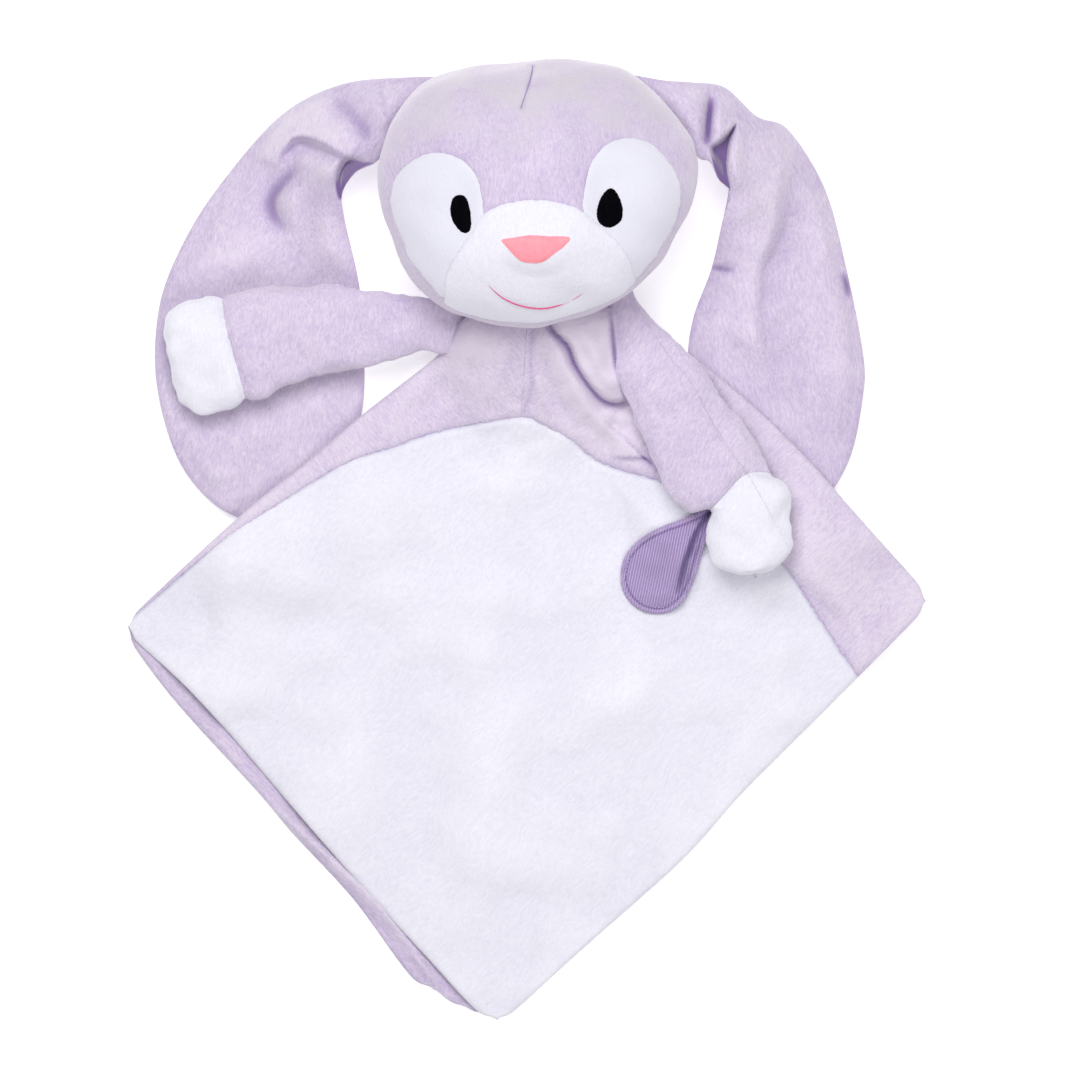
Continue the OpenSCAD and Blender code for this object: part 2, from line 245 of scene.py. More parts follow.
def grid_normals(grid):
    """Outward unit normals of a closed form's grid. Its rows run from end to end, its columns round it."""
    across = np.roll(grid, -1, 1) - np.roll(grid, 1, 1)
    n = np.cross(np.gradient(grid, axis=0), across)
    n /= np.maximum(np.linalg.norm(n, axis=-1, keepdims=True), 1e-9)
    for end, beside in ((0, 1), (-1, -2)):
        if np.ptp(grid[end], axis=0).max() < 1e-6:
            pole = n[beside].mean(0)
            n[end] = pole / np.linalg.norm(pole)
    spine = grid.mean(1, keepdims=True)
    return -n if ((grid - spine) * n).sum() < 0 else n


def grid_faces(rows, columns, wrap=False):
    """Four-sided faces of a grid of points. wrap joins its last column to its first."""
    i = np.arange(rows - 1)[:, None]
    j = np.arange(columns if wrap else columns - 1)[None]
    a, b = i * columns + j, i * columns + (j + 1) % columns
    return np.stack([a, b, b + columns, a + columns], -1).reshape(-1, 4)


def surface(points, faces):
    """A bmesh of points in millimetres and their faces, with doubled points joined."""
    mesh = bpy.data.meshes.new("work")
    mesh.from_pydata(np.asarray(points).tolist(), [], np.asarray(faces).tolist())
    work = bmesh.new()
    work.from_mesh(mesh)
    bpy.data.meshes.remove(mesh)
    bmesh.ops.remove_doubles(work, verts=work.verts, dist=1e-4)
    bmesh.ops.dissolve_degenerate(work, edges=work.edges, dist=1e-5)
    return work


def closed_form(grid):
    """A bmesh of a closed form's grid, with its ends filled and its faces pointing outwards."""
    work = surface(grid.reshape(-1, 3), grid_faces(*grid.shape[:2], True))
    bmesh.ops.holes_fill(work, edges=[e for e in work.edges if e.is_boundary], sides=0)
    bmesh.ops.recalc_face_normals(work, faces=work.faces)
    return work


def relief(count, seed):
    """Random unevenness of the pile for a number of points."""
    return np.random.default_rng(seed).normal(size=count) * sizes().pile_relief


def pile_at(work, seed):
    """Unevenness of the pile at each point, less where the mesh is finer than the pile."""
    rough = relief(len(work.verts), seed)
    finest = [min(e.calc_length() for e in v.link_edges) for v in work.verts]
    return dict(zip(work.verts, rough * np.clip(np.array(finest) / sizes().grain - 0.15, 0, 1)))


def places(work):
    return np.array([v.co[:] for v in work.verts], float)


def cut(work, field):
    """Cuts the surface where the field crosses zero, so that a seam runs along its edges."""
    value = field(places(work))
    work.verts.index_update()
    work.edges.ensure_lookup_table()
    value = dict(zip(work.verts, value))
    for edge in work.edges:
        a, b = edge.verts
        if value[a] * value[b] < 0:
            share = value[a] / (value[a] - value[b])
            if share < 0.1:
                value[a] = 0.0
            elif share > 0.9:
                value[b] = 0.0
    for edge in [e for e in work.edges if value[e.verts[0]] * value[e.verts[1]] < 0]:
        a, b = edge.verts
        fresh = bmesh.utils.edge_split(edge, a, value[a] / (value[a] - value[b]))[1]
        value[fresh] = 0.0
    on_line = [v for v in work.verts if value[v] == 0.0]
    bmesh.ops.connect_verts(work, verts=on_line)
    return {face: sum(value[v] for v in face.verts) for face in work.faces}


def part_of(work, keep):
    """The points and faces of the part of a surface whose faces keep() accepts."""
    number, points, faces = {}, [], []
    for face in work.faces:
        if not keep(face):
            continue
        corners = []
        for v in face.verts:
            if v not in number:
                number[v] = len(points)
                points.append(v.co[:])
            corners.append(number[v])
        faces.append(corners)
    return np.array(points, float), faces


def panel_of(label, number, rough, thickness):
    """The outside, faces and inside of the faces that carry a number, thickened along their normals."""
    index, top, under, panel = {}, [], [], []
    for face, value in label.items():
        if value != number:
            continue
        for v in face.verts:
            if v not in index:
                index[v] = len(top)
                top.append((v.co + v.normal * rough[v])[:])
                under.append((v.co - v.normal * thickness)[:])
        panel.append([index[v] for v in face.verts])
    return np.array(top), panel, np.array(under)


def closed_sheet(top, faces, under):
    """Joins a surface and the surface under it with a rim, as one closed sheet."""
    count = len(top)
    uses = {}
    for face in faces:
        for a, b in zip(face, list(face[1:]) + [face[0]]):
            uses[(a, b)] = uses.get((a, b), 0) + 1
    rim = [[b, a, a + count, b + count] for a, b in uses if (b, a) not in uses]
    back = [[i + count for i in reversed(face)] for face in faces]
    return np.vstack([top, under]), [list(f) for f in faces] + back + rim


def piece(name, points, faces, material, nap=None, grey=None):
    """A smooth mesh object from points in millimetres.

    nap carries painted light and shade: lighter on fold crests, darker in valleys, creases and seams. grey is
    the share of its brushed-up colour, with painted sheen on the crown.
    """
    mesh = bpy.data.meshes.new(name)
    mesh.from_pydata((np.asarray(points, float) * MM).tolist(), [], [list(f) for f in faces])
    for label, value in (("nap", nap), ("grey", grey)):
        if value is not None:
            mesh.attributes.new(label, "FLOAT", "POINT").data.foreach_set("value", np.asarray(value, float))
    work = bmesh.new()
    work.from_mesh(mesh)
    bmesh.ops.remove_doubles(work, verts=work.verts, dist=1e-7)
    bmesh.ops.recalc_face_normals(work, faces=work.faces)
    work.to_mesh(mesh)
    work.free()
    mesh.polygons.foreach_set("use_smooth", np.ones(len(mesh.polygons), bool))
    mesh.materials.append(material)
    made = bpy.data.objects.new(name, mesh)
    bpy.context.scene.collection.objects.link(made)
    return made


def filling(name, grid, node, hold):
    """Loose fibre inside a form. hold() is run on it: for the head it fixes it to its body."""
    work = closed_form(grid)
    points, faces = part_of(work, lambda face: True)
    work.free()
    made = piece(name, points, faces, fibre_material())
    hold(made)
    stands_for(node)


def stands_for(node):
    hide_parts(node)


def tree_of(obj):
    """A search tree of a finished piece, to lay embroidery on it."""
    mesh = obj.data
    return BVHTree.FromPolygons(
        [v.co / MM for v in mesh.vertices], [tuple(p.vertices) for p in mesh.polygons]
    )


def on_top(tree, points, lift=0.0):
    """Flat points laid on the upper side of a piece, lifted off it by some millimetres."""
    laid = []
    for x, y in np.asarray(points, float)[:, :2]:
        hit, normal, _, _ = tree.ray_cast(Vector((x, y, 400.0)), Vector((0, 0, -1)))
        if hit is None:
            raise RuntimeError(f"nothing lies under ({x:.1f}, {y:.1f})")
        laid.append(hit + normal * lift)
    return np.array([p[:] for p in laid], float)


# --- Geometry Nodes for thread ------------------------------------------------------------------


def new_group(name, kind, inputs, outputs):
    """A node group with its named sockets, and its two end nodes."""
    tree = bpy.data.node_groups.new(name, kind)
    for label, socket_type, default in inputs:
        socket = tree.interface.new_socket(label, in_out="INPUT", socket_type=socket_type)
        if default is not None:
            socket.default_value = default
    for label, socket_type in outputs:
        tree.interface.new_socket(label, in_out="OUTPUT", socket_type=socket_type)
    return tree, tree.nodes.new("NodeGroupInput"), tree.nodes.new("NodeGroupOutput")


def geometry_group(name, inputs):
    through = ("Geometry", "NodeSocketGeometry")
    return new_group(name, "GeometryNodeTree", [(*through, None), *inputs], [through])


def link_all(tree, links):
    for source, output, target, socket in links:
        tree.links.new(source.outputs[output], target.inputs[socket])


def thread_tree():
    """Turns lines into round threads."""
    tree, given, result = geometry_group(
        "Thread", [("Radius", "NodeSocketFloat", 0.0003), ("Material", "NodeSocketMaterial", None)]
    )
    curve = tree.nodes.new("GeometryNodeMeshToCurve")
    ring = tree.nodes.new("GeometryNodeCurvePrimitiveCircle")
    ring.inputs["Resolution"].default_value = 6
    tube = tree.nodes.new("GeometryNodeCurveToMesh")
    tube.inputs["Fill Caps"].default_value = True
    shade = tree.nodes.new("GeometryNodeSetShadeSmooth")
    real = tree.nodes.new("GeometryNodeRealizeInstances")
    coat = tree.nodes.new("GeometryNodeSetMaterial")
    link_all(tree, [
        (given, "Geometry", curve, "Mesh"),
        (curve, "Curve", tube, "Curve"),
        (given, "Radius", ring, "Radius"),
        (ring, "Curve", tube, "Profile Curve"),
        (tube, "Mesh", shade, "Geometry"),
        (shade, "Geometry", real, "Geometry"),
        (real, "Geometry", coat, "Geometry"),
        (given, "Material", coat, "Material"),
        (coat, "Geometry", result, "Geometry"),
    ])
    return tree


def stitch_tree():
    """Sets a stitch at even steps along lines."""
    tree, given, result = geometry_group(
        "Stitch row",
        [
            ("Step", "NodeSocketFloat", 0.003),
            ("Size", "NodeSocketVector", (0.0003, 0.0003, 0.001)),
            ("Material", "NodeSocketMaterial", None),
        ],
    )
    curve = tree.nodes.new("GeometryNodeMeshToCurve")
    even = tree.nodes.new("GeometryNodeResampleCurve")
    even.mode = "LENGTH"
    points = tree.nodes.new("GeometryNodeCurveToPoints")
    points.mode = "EVALUATED"
    bead = tree.nodes.new("GeometryNodeMeshIcoSphere")
    bead.inputs["Radius"].default_value = 1.0
    bead.inputs["Subdivisions"].default_value = 2
    set_on = tree.nodes.new("GeometryNodeInstanceOnPoints")
    shade = tree.nodes.new("GeometryNodeSetShadeSmooth")
    real = tree.nodes.new("GeometryNodeRealizeInstances")
    coat = tree.nodes.new("GeometryNodeSetMaterial")
    link_all(tree, [
        (given, "Geometry", curve, "Mesh"),
        (curve, "Curve", even, "Curve"),
        (given, "Step", even, "Length"),
        (even, "Curve", points, "Curve"),
        (points, "Points", set_on, "Points"),
        (bead, "Mesh", set_on, "Instance"),
        (points, "Rotation", set_on, "Rotation"),
        (given, "Size", set_on, "Scale"),
        (set_on, "Instances", real, "Geometry"),
        (real, "Geometry", shade, "Geometry"),
        (shade, "Geometry", coat, "Geometry"),
        (given, "Material", coat, "Material"),
        (coat, "Geometry", result, "Geometry"),
    ])
    return tree


def grow(name, lines, make_tree, values):
    """Runs a geometry node tree on lines in millimetres and keeps the result as a plain mesh."""
    points, edges = [], []
    for line in lines:
        edges += [(len(points) + i, len(points) + i + 1) for i in range(len(line) - 1)]
        points += [tuple(p) for p in np.asarray(line) * MM]
    base = bpy.data.meshes.new(name + "_lines")
    base.from_pydata(points, edges, [])
    source = bpy.data.objects.new(name + "_lines", base)
    bpy.context.scene.collection.objects.link(source)
    tree = bpy.data.node_groups.get(make_tree.__name__) or make_tree()
    tree.name = make_tree.__name__
    modifier = source.modifiers.new(name, "NODES")
    modifier.node_group = tree
    for socket in tree.interface.items_tree:
        if socket.item_type == "SOCKET" and socket.in_out == "INPUT" and socket.name in values:
            modifier[socket.identifier] = values[socket.name]
    graph = bpy.context.evaluated_depsgraph_get()
    mesh = bpy.data.meshes.new_from_object(source.evaluated_get(graph))
    bpy.data.objects.remove(source)
    made = bpy.data.objects.new(name, mesh)
    bpy.context.scene.collection.objects.link(made)
    return made


def threads(name, lines, radius, material):
    return grow(name, lines, thread_tree, {"Radius": radius * MM, "Material": material})


def stitches(name, lines, step, size, material):
    size = tuple(s * MM for s in size)
    return grow(name, lines, stitch_tree, {"Step": step * MM, "Size": size, "Material": material})


# --- Materials ----------------------------------------------------------------------------------

# The pile's lit colour, its shaded colour, its painted crease shade, and its brushed-up colour, which carries
# painted sheen.
PILE_COLOURS = ("Lit", "Deep", "Crease", "Brushed up")
RIB_TURN = 0.2


def maths(tree, operation, *values, clamp=False):
    node = tree.nodes.new("ShaderNodeMath")
    node.operation = operation
    node.use_clamp = clamp
    for socket, value in zip(node.inputs, values):
        if isinstance(value, (int, float)):
            socket.default_value = value
        else:
            tree.links.new(value, socket)
    return node.outputs[0]


def attribute(tree, name):
    node = tree.nodes.new("ShaderNodeAttribute")
    node.attribute_name = name
    return node.outputs["Fac"]


def noise(tree, where, scale, detail=2.0, rough=0.5, warp=0.0):
    node = tree.nodes.new("ShaderNodeTexNoise")
    tree.links.new(where, node.inputs["Vector"])
    node.inputs["Scale"].default_value = scale
    node.inputs["Detail"].default_value = detail
    node.inputs["Roughness"].default_value = rough
    node.inputs["Distortion"].default_value = warp
    return node.outputs["Fac"]


def stretched(tree, where, scale, turn=(0, 0, 0)):
    node = tree.nodes.new("ShaderNodeMapping")
    node.inputs["Scale"].default_value = scale
    node.inputs["Rotation"].default_value = turn
    tree.links.new(where, node.inputs["Vector"])
    return node.outputs["Vector"]


def remap(tree, value, low, high, to_low=0.0, to_high=1.0):
    node = tree.nodes.new("ShaderNodeMapRange")
    node.clamp = True
    for label, number in zip(("From Min", "From Max", "To Min", "To Max"), (low, high, to_low, to_high)):
        node.inputs[label].default_value = number
    tree.links.new(value, node.inputs["Value"])
    return node.outputs["Result"]


def blend_colour(tree, share, a, b):
    node = tree.nodes.new("ShaderNodeMix")
    node.data_type = "RGBA"
    tree.links.new(share, node.inputs["Factor"])
    for socket, value in ((node.inputs["A"], a), (node.inputs["B"], b)):
        if isinstance(value, bpy.types.NodeSocket):
            tree.links.new(value, socket)
        else:
            socket.default_value = (*value[:3], 1.0)
    return node.outputs["Result"]


def pile_group():
    """Short directional pile: its colour, moved between lit and shaded by the nap attribute's painted light
    and shade, darkened to a painted crease shade, and mixed with the brushed-up colour where the pile is
    brushed or worn up, with painted sheen; and its relief.
    """
    name = "Short pile"
    if name in bpy.data.node_groups:
        return bpy.data.node_groups[name]
    colour_inputs = [(label, "NodeSocketColor", (1, 1, 1, 1)) for label in PILE_COLOURS]
    tree, given, result = new_group(
        name,
        "ShaderNodeTree",
        [("Vector", "NodeSocketVector", (0, 0, 0)), ("Brushing", "NodeSocketFloat", 1.0), *colour_inputs],
        [("Colour", "NodeSocketColor"), ("Height", "NodeSocketFloat")],
    )
    lit, deep, crease, up = (given.outputs[label] for label in PILE_COLOURS)
    where = given.outputs["Vector"]
    warp = tree.nodes.new("ShaderNodeTexNoise")
    warp.inputs["Scale"].default_value = 26.0
    warp.inputs["Detail"].default_value = 1.0
    bent = tree.nodes.new("ShaderNodeVectorMath")
    bent.operation = "MULTIPLY_ADD"
    bent.inputs[1].default_value = (0.012, 0.012, 0.012)
    tree.links.new(where, warp.inputs["Vector"])
    tree.links.new(warp.outputs["Color"], bent.inputs[0])
    tree.links.new(where, bent.inputs[2])
    flow = bent.outputs[0]
    hairs = noise(tree, stretched(tree, flow, (1.0, 0.2, 0.8)), 1900.0, 2.0, 0.6, 0.3)
    tufts = noise(tree, stretched(tree, flow, (1.0, 0.26, 0.8)), 760.0, 2.0, 0.55, 0.4)
    clumps = noise(tree, stretched(tree, flow, (1.0, 0.5, 1.0)), 120.0, 2.0, 0.5, 0.3)
    patches = maths(tree, "SUBTRACT", noise(tree, where, 24.0, 3.0, 0.55, 0.6), 0.5)
    patches = maths(tree, "MULTIPLY", patches, given.outputs["Brushing"])
    height = maths(tree, "MULTIPLY_ADD", tufts, 0.45, maths(tree, "MULTIPLY", hairs, 0.3))
    height = maths(tree, "MULTIPLY_ADD", clumps, 0.3, height)
    light = maths(tree, "MULTIPLY_ADD", tufts, 0.65, maths(tree, "MULTIPLY", hairs, 0.7))
    light = maths(tree, "MULTIPLY_ADD", clumps, 0.15, light)
    light = remap(tree, maths(tree, "MULTIPLY_ADD", patches, 0.42, light), 0.42, 1.0)
    # The nap attribute carries painted light and shade: it moves the pile towards its lit colour on fold
    # crests and towards its shaded colour in valleys, creases and seams.
    nap = attribute(tree, "nap")
    shade = blend_colour(tree, maths(tree, "MULTIPLY_ADD", nap, 0.55, light, clamp=True), deep, lit)
    # Painted shade: where the nap is strongly negative the pile turns to its crease colour.
    shade = blend_colour(tree, remap(tree, nap, -0.5, -1.7, 0.0, 0.95), shade, crease)
    # The grey attribute mixes in the brushed-up colour: brushed-up pile with painted sheen on the crown, a
    # darker white on the eye patches.
    up_colour_share = maths(tree, "MULTIPLY", attribute(tree, "grey"), 1.0, clamp=True)
    tree.links.new(blend_colour(tree, up_colour_share, shade, up), result.inputs["Colour"])
    tree.links.new(height, result.inputs["Height"])
    return tree


def shader(name, roughness, sheen, sheen_rough, sheen_tint):
    material = bpy.data.materials.new(name)
    material.use_nodes = True
    tree = material.node_tree
    body = tree.nodes["Principled BSDF"]
    body.inputs["Roughness"].default_value = roughness
    body.inputs["Specular IOR Level"].default_value = 0.2
    body.inputs["Sheen Weight"].default_value = sheen
    body.inputs["Sheen Roughness"].default_value = sheen_rough
    body.inputs["Sheen Tint"].default_value = (*sheen_tint, 1.0)
    where = tree.nodes.new("ShaderNodeTexCoord").outputs["Object"]
    return material, tree, body, where


def bump(tree, body, height, distance, strength=1.0):
    node = tree.nodes.new("ShaderNodeBump")
    node.inputs["Distance"].default_value = distance
    node.inputs["Strength"].default_value = strength
    tree.links.new(height, node.inputs["Height"])
    tree.links.new(node.outputs["Normal"], body.inputs["Normal"])


def plush(name, shades, rim, turn, brushing, depth):
    """Short-pile plush whose nap runs along one direction. shades are the pile's four colours: lit, shaded,
    painted crease shade and brushed up; rim is a painted sheen towards the silhouette.
    """
    if name in bpy.data.materials:
        return bpy.data.materials[name]
    material, tree, body, where = shader(name, 0.85, 0.5, 0.5, (0.93, 0.91, 0.96))
    pile = tree.nodes.new("ShaderNodeGroup")
    pile.node_tree = pile_group()
    pile.inputs["Brushing"].default_value = brushing
    for label, shade in zip(PILE_COLOURS, shades):
        pile.inputs[label].default_value = (*shade, 1.0)
    tree.links.new(stretched(tree, where, (1, 1, 1), (0, 0, turn)), pile.inputs["Vector"])
    # Painted sheen: towards the silhouette the pile's colour is turned to the rim colour.
    facing = tree.nodes.new("ShaderNodeLayerWeight")
    facing.inputs["Blend"].default_value = 0.5
    edge = remap(tree, facing.outputs["Facing"], 0.3, 0.92, 0.0, 0.85)
    tree.links.new(blend_colour(tree, edge, pile.outputs["Colour"], rim), body.inputs["Base Color"])
    bump(tree, body, pile.outputs["Height"], 0.0010, depth)
    return material


def lilac_plush(turn=0.0):
    c, name = colours(), f"lilac_plush_{round(math.degrees(turn))}"
    # The crease colour is painted shade, the brushed-up colour carries painted sheen, and the rim colour is
    # painted sheen.
    return plush(name, (c.lilac, c.lilac_deep, c.lilac_crease, c.lilac_up), c.lilac_rim, turn, 1.0, 0.8)


def white_plush(turn=0.0):
    c, name = colours(), f"white_plush_{round(math.degrees(turn))}"
    # The crease colour is painted shade; the shaded white serves as the brushed-up colour, and the lit white
    # as painted sheen towards the silhouette.
    return plush(name, (c.white, c.white_deep, c.white_crease, c.white_deep), c.white, turn, 0.3, 0.45)


def thread_material(name, base, deep, shine):
    if name in bpy.data.materials:
        return bpy.data.materials[name]
    dark = max(base) < 0.1
    material, tree, body, where = shader(name, shine, 0.0 if dark else 0.25, 0.3, (1.0, 1.0, 1.0))
    body.inputs["Specular IOR Level"].default_value = 0.0 if dark else 0.2
    twist = noise(tree, stretched(tree, where, (1.0, 2.2, 1.0), (0, 0, 0.6)), 2600.0, 2.0, 0.6)
    mixed = maths(tree, "MULTIPLY_ADD", twist, 0.6, maths(tree, "MULTIPLY", noise(tree, where, 260.0), 0.4))
    tree.links.new(blend_colour(tree, remap(tree, mixed, 0.3, 0.7), deep, base), body.inputs["Base Color"])
    bump(tree, body, twist, 0.00015)
    return material


def knit_material():
    name = "rib_knit_cloth"
    if name in bpy.data.materials:
        return bpy.data.materials[name]
    material, tree, body, where = shader(name, 0.8, 0.35, 0.5, (0.8, 0.75, 0.95))
    ribs = tree.nodes.new("ShaderNodeTexWave")
    ribs.wave_type, ribs.bands_direction = "BANDS", "X"
    ribs.inputs["Scale"].default_value = 200.0
    ribs.inputs["Distortion"].default_value = 0.6
    ribs.inputs["Detail"].default_value = 1.0
    ribs.inputs["Detail Scale"].default_value = 3.0
    turned = stretched(tree, where, (1, 1, 1), (0, 0, RIB_TURN))
    tree.links.new(turned, ribs.inputs["Vector"])
    loops = maths(tree, "MULTIPLY", noise(tree, turned, 1500.0, 2.0, 0.6), 0.5)
    mixed = maths(tree, "MULTIPLY_ADD", ribs.outputs["Fac"], 0.65, loops)
    # The ribs' pattern, with the nap attribute's painted shade in the slit and groove and painted light on
    # the rolled edge.
    rib_and_shade = maths(tree, "MULTIPLY_ADD", attribute(tree, "nap"), 0.5, remap(tree, mixed, 0.0, 1.15), clamp=True)
    shade = blend_colour(tree, rib_and_shade, colours().knit_deep, colours().knit)
    tree.links.new(shade, body.inputs["Base Color"])
    bump(tree, body, mixed, 0.0007)
    return material


def fibre_material():
    name = "loose_fibre"
    if name in bpy.data.materials:
        return bpy.data.materials[name]
    material, tree, body, where = shader(name, 0.95, 0.4, 0.5, (1.0, 1.0, 1.0))
    wisps = noise(tree, where, 260.0, 5.0, 0.7, 2.0)
    tree.links.new(blend_colour(tree, wisps, (0.7, 0.7, 0.68), colours().fibre), body.inputs["Base Color"])
    bump(tree, body, wisps, 0.002)
    return material


# --- Drape of the blanket -----------------------------------------------------------------------

NECK = np.array(JOINTS["neck_sway"]["pos_m"][:2]) / MM - (0, 6)
NECK_RISE = 34.0
NECK_REACH = 95.0
EAR_REST = {LEFT: np.array([-163.0, 120.0]), RIGHT: np.array([151.0, 110.0])}
EAR_FLAT = {LEFT: 88.0, RIGHT: 76.0}
EAR_STACK = 8.5
EAR_FALL = 47.5


def drape(p):
    """Height of the blanket's underside: it hangs from the neck and lies over the ears' ends."""
    height = NECK_RISE * wave(np.linalg.norm(p[:, :2] - NECK, axis=1), NECK_REACH)
    for side in (LEFT, RIGHT):
        away = np.linalg.norm(p[:, :2] - EAR_REST[side], axis=1)
        height = np.maximum(height, EAR_STACK * wave(np.maximum(away - EAR_FLAT[side], 0), EAR_FALL))
    return height


BLANKET_SIDE = 345
CORNER_RADIUS = 11
# Corners and edges of the blanket's front, in millimetres
CORNER_LEFT = (-245, -9)
CORNER_TOP = (8, 184)
CORNER_RIGHT = (243.5, 7)
CORNER_BOTTOM = (-19, -249.5)
EDGE_UPPER_LEFT = [
    CORNER_LEFT, (-189, 43), (-158, 70), (-136, 87), (-101, 117), (-60, 149), (-49, 160), (-42, 172),
    (-26, 182), CORNER_TOP,
]
EDGE_UPPER_RIGHT = [CORNER_TOP, (54, 181), (96, 155), (139, 120), (171, 88), (200, 55), CORNER_RIGHT]
EDGE_LOWER_RIGHT = [CORNER_RIGHT, (210, -27), (175, -62), (128, -109), (91, -150), (26, -208), CORNER_BOTTOM]
EDGE_LOWER_LEFT = [
    CORNER_LEFT, (-200, -50), (-143, -115), (-103, -161), (-58, -210), (-36, -234), CORNER_BOTTOM,
]
# The back layer, which shows along the lower left
BACK_LOWER_LEFT = [
    CORNER_LEFT, (-212, -53), (-162, -108), (-141, -133), (-105, -172), (-74, -214), (-58, -231),
]
BACK_LOWER_RIGHT = [CORNER_RIGHT, (173, -60), (90, -148), (24, -206), (-22, -238), (-40, -236), (-58, -231)]

# The arched seam between the belly and the yoke, from the left edge to the right edge
BELLY_SEAM = [
    (-262, -22), (-236, -2), (-196, 32), (-178, 47), (-151, 64), (-110, 89), (-83, 98), (-55, 108),
    (-29, 113), (-3, 117), (7, 113), (25, 104), (39, 92), (59, 84), (80, 78), (112, 62), (140, 42),
    (158, 22), (176, -6), (196, -36), (214, -60),
]


def coons(upper_left, lower_left, upper_right, lower_right, grain):
    """A four-sided patch between its edges. Rows run from the left corner towards the top one."""
    across = int(BLANKET_SIDE / grain)
    a = smooth(upper_left, across)
    b = smooth(lower_right, across)[::-1]
    c = smooth(lower_left, across)
    d = smooth(upper_right, across)
    u = np.linspace(0, 1, across)[:, None, None]
    v = np.linspace(0, 1, across)[None, :, None]
    patch = (1 - v) * a[:, None] + v * b[:, None] + (1 - u) * c[None] + u * d[None]
    patch -= (1 - u) * (1 - v) * a[0] + u * (1 - v) * a[-1] + (1 - u) * v * b[0] + u * v * b[-1]
    return patch


def round_corners(patch, radius):
    """Pulls the corners of a patch in, so that they are round."""
    rows, columns = patch.shape[:2]
    middle = patch[rows // 2, columns // 2]
    out = patch.copy()
    for i, j in ((0, 0), (0, -1), (-1, 0), (-1, -1)):
        corner = patch[i, j]
        near = np.linalg.norm(patch - corner, axis=-1, keepdims=True)
        inward = (middle - corner) / np.linalg.norm(middle - corner)
        out += inward * 0.45 * radius * np.exp(-((near / (0.8 * radius)) ** 2))
    return out


def edge_profile(away, radius, least=0.16):
    """Thickness share of a cloth that is turned round at its edge."""
    t = np.clip(away / radius, 0, 1)
    return np.maximum(np.sqrt(1 - (1 - t) ** 2), least)


def outline(lower_left, lower_right):
    """The outline of a blanket layer that has the given lower edges."""
    edges = [smooth(edge, 30)[:-1] for edge in (EDGE_UPPER_LEFT, EDGE_UPPER_RIGHT, lower_right)]
    return np.vstack([*edges, smooth(lower_left, 30)[::-1][:-1]])


def layer(lower_left, lower_right, grain):
    """The flat points and faces of a blanket layer, with round corners."""
    patch = coons(EDGE_UPPER_LEFT, lower_left, EDGE_UPPER_RIGHT, lower_right, grain)
    patch = round_corners(patch, CORNER_RADIUS)
    return level(patch).reshape(-1, 3), grid_faces(*patch.shape[:2])


# Each fold: its line, its width, its height, its right side's width and how it fades at its ends
BELLY_FOLDS = [
    ([(153, -64), (123, -86), (106, -111), (95, -128)], 9, -3.0, 14),
    ([(166, -58), (138, -74), (118, -96), (104, -120)], 10, 3.2),
    ([(-8, -40), (-16, -72), (-32, -112), (-47, -160)], 16, 2.6, 30),
    ([(-34, -30), (-44, -70), (-62, -110), (-72, -150)], 14, -1.6),
    ([(38, 84), (62, 66), (84, 40), (96, 12)], 9, 3.4, 14),
    ([(52, 88), (76, 72), (96, 52), (106, 30)], 6, -2.6),
    ([(24, 96), (44, 70), (60, 44), (66, 10)], 10, -2.2),
    ([(-150, 52), (-96, 66), (-50, 70), (-10, 60)], 18, 1.8),
    ([(-190, 20), (-130, 10), (-70, 14)], 16, 1.8),
    ([(160, 34), (176, 20), (196, -6), (206, -30)], 7, 2.8),
    ([(152, 30), (168, 8), (184, -18)], 6, -2.6),
    ([(168, 44), (190, 26), (214, 8)], 7, 2.0),
]
YOKE_SEAM = [(2, 176), (1.6, 150), (2, 134), (-3, 117)]
YOKE_FOLDS = [
    (YOKE_SEAM, 1.8, -2.4, None, 0.2),
    ([(-40, 160), (-52, 146), (-72, 128), (-96, 112)], 8, 2.2),
    ([(-20, 172), (-22, 150), (-30, 126)], 9, 2.4),
    ([(-8, 172), (-8, 150), (-14, 124)], 5, -1.4),
    ([(10, 172), (17, 157), (26, 139), (37, 121), (50, 108), (68, 97)], 5.5, 5.2, None, 0.3),
    ([(4, 160), (10, 142), (18, 126), (30, 108)], 4, -2.2),
    ([(3, 146), (8, 132), (14, 118)], 3.5, 1.6),
    ([(28, 168), (36, 150), (45, 134)], 2.5, -1.6),
    ([(40, 174), (46, 156), (52, 140)], 3, -1.2),
    ([(46, 121), (56, 117), (68, 116)], 4, 2.6),
    ([(56, 88), (66, 86), (78, 82)], 3, 1.6),
]
YOKE_GATHERS = 6
# Painted shade along the yoke's creases, each given as fold() takes it.
YOKE_CREASE_SHADES = [
    ([(13, 176), (15, 169), (24.5, 159), (29, 148), (38, 134.5), (47, 126.5),
    (59, 126)], 1.3, -2.0, 3.2, 0.25), ([(49.5, 180), (50.8, 165), (52.5, 150), (56, 137),
    (59, 128)], 2.3, -3.2, None, 0.15), (YOKE_SEAM, 1.0, -0.9, None, 0.2),
    ([(50, 93), (58, 92.4), (67, 92.4), (78, 90)], 1.1, -1.3),
    ([(-47, 160), (-43, 169), (-38, 176)], 1.6, -1.6, None, 0.3),
]
# How many short painted crease shades lie in the gathers below the pleat.
YOKE_COMB = 9
# The pleat that laps over the yoke's right side
PLEAT = [
    (13, 182), (15, 170), (24, 160), (29, 148), (38, 135), (47, 126.5), (59, 127), (64, 140), (60, 160),
    (52, 184),
]
LOOSE_EDGE_FOLDS = [
    ([(-161, -108), (-116, -151), (-86, -181), (-60, -214)], 3.0, 2.2),
    ([(-150, -124), (-118, -156), (-92, -186), (-74, -206)], 2.0, -1.2),
    ([(-70, -204), (-62, -214), (-52, -226)], 2.0, 1.6),
    ([(-200, -60), (-180, -84), (-164, -104)], 3.0, 1.2),
]


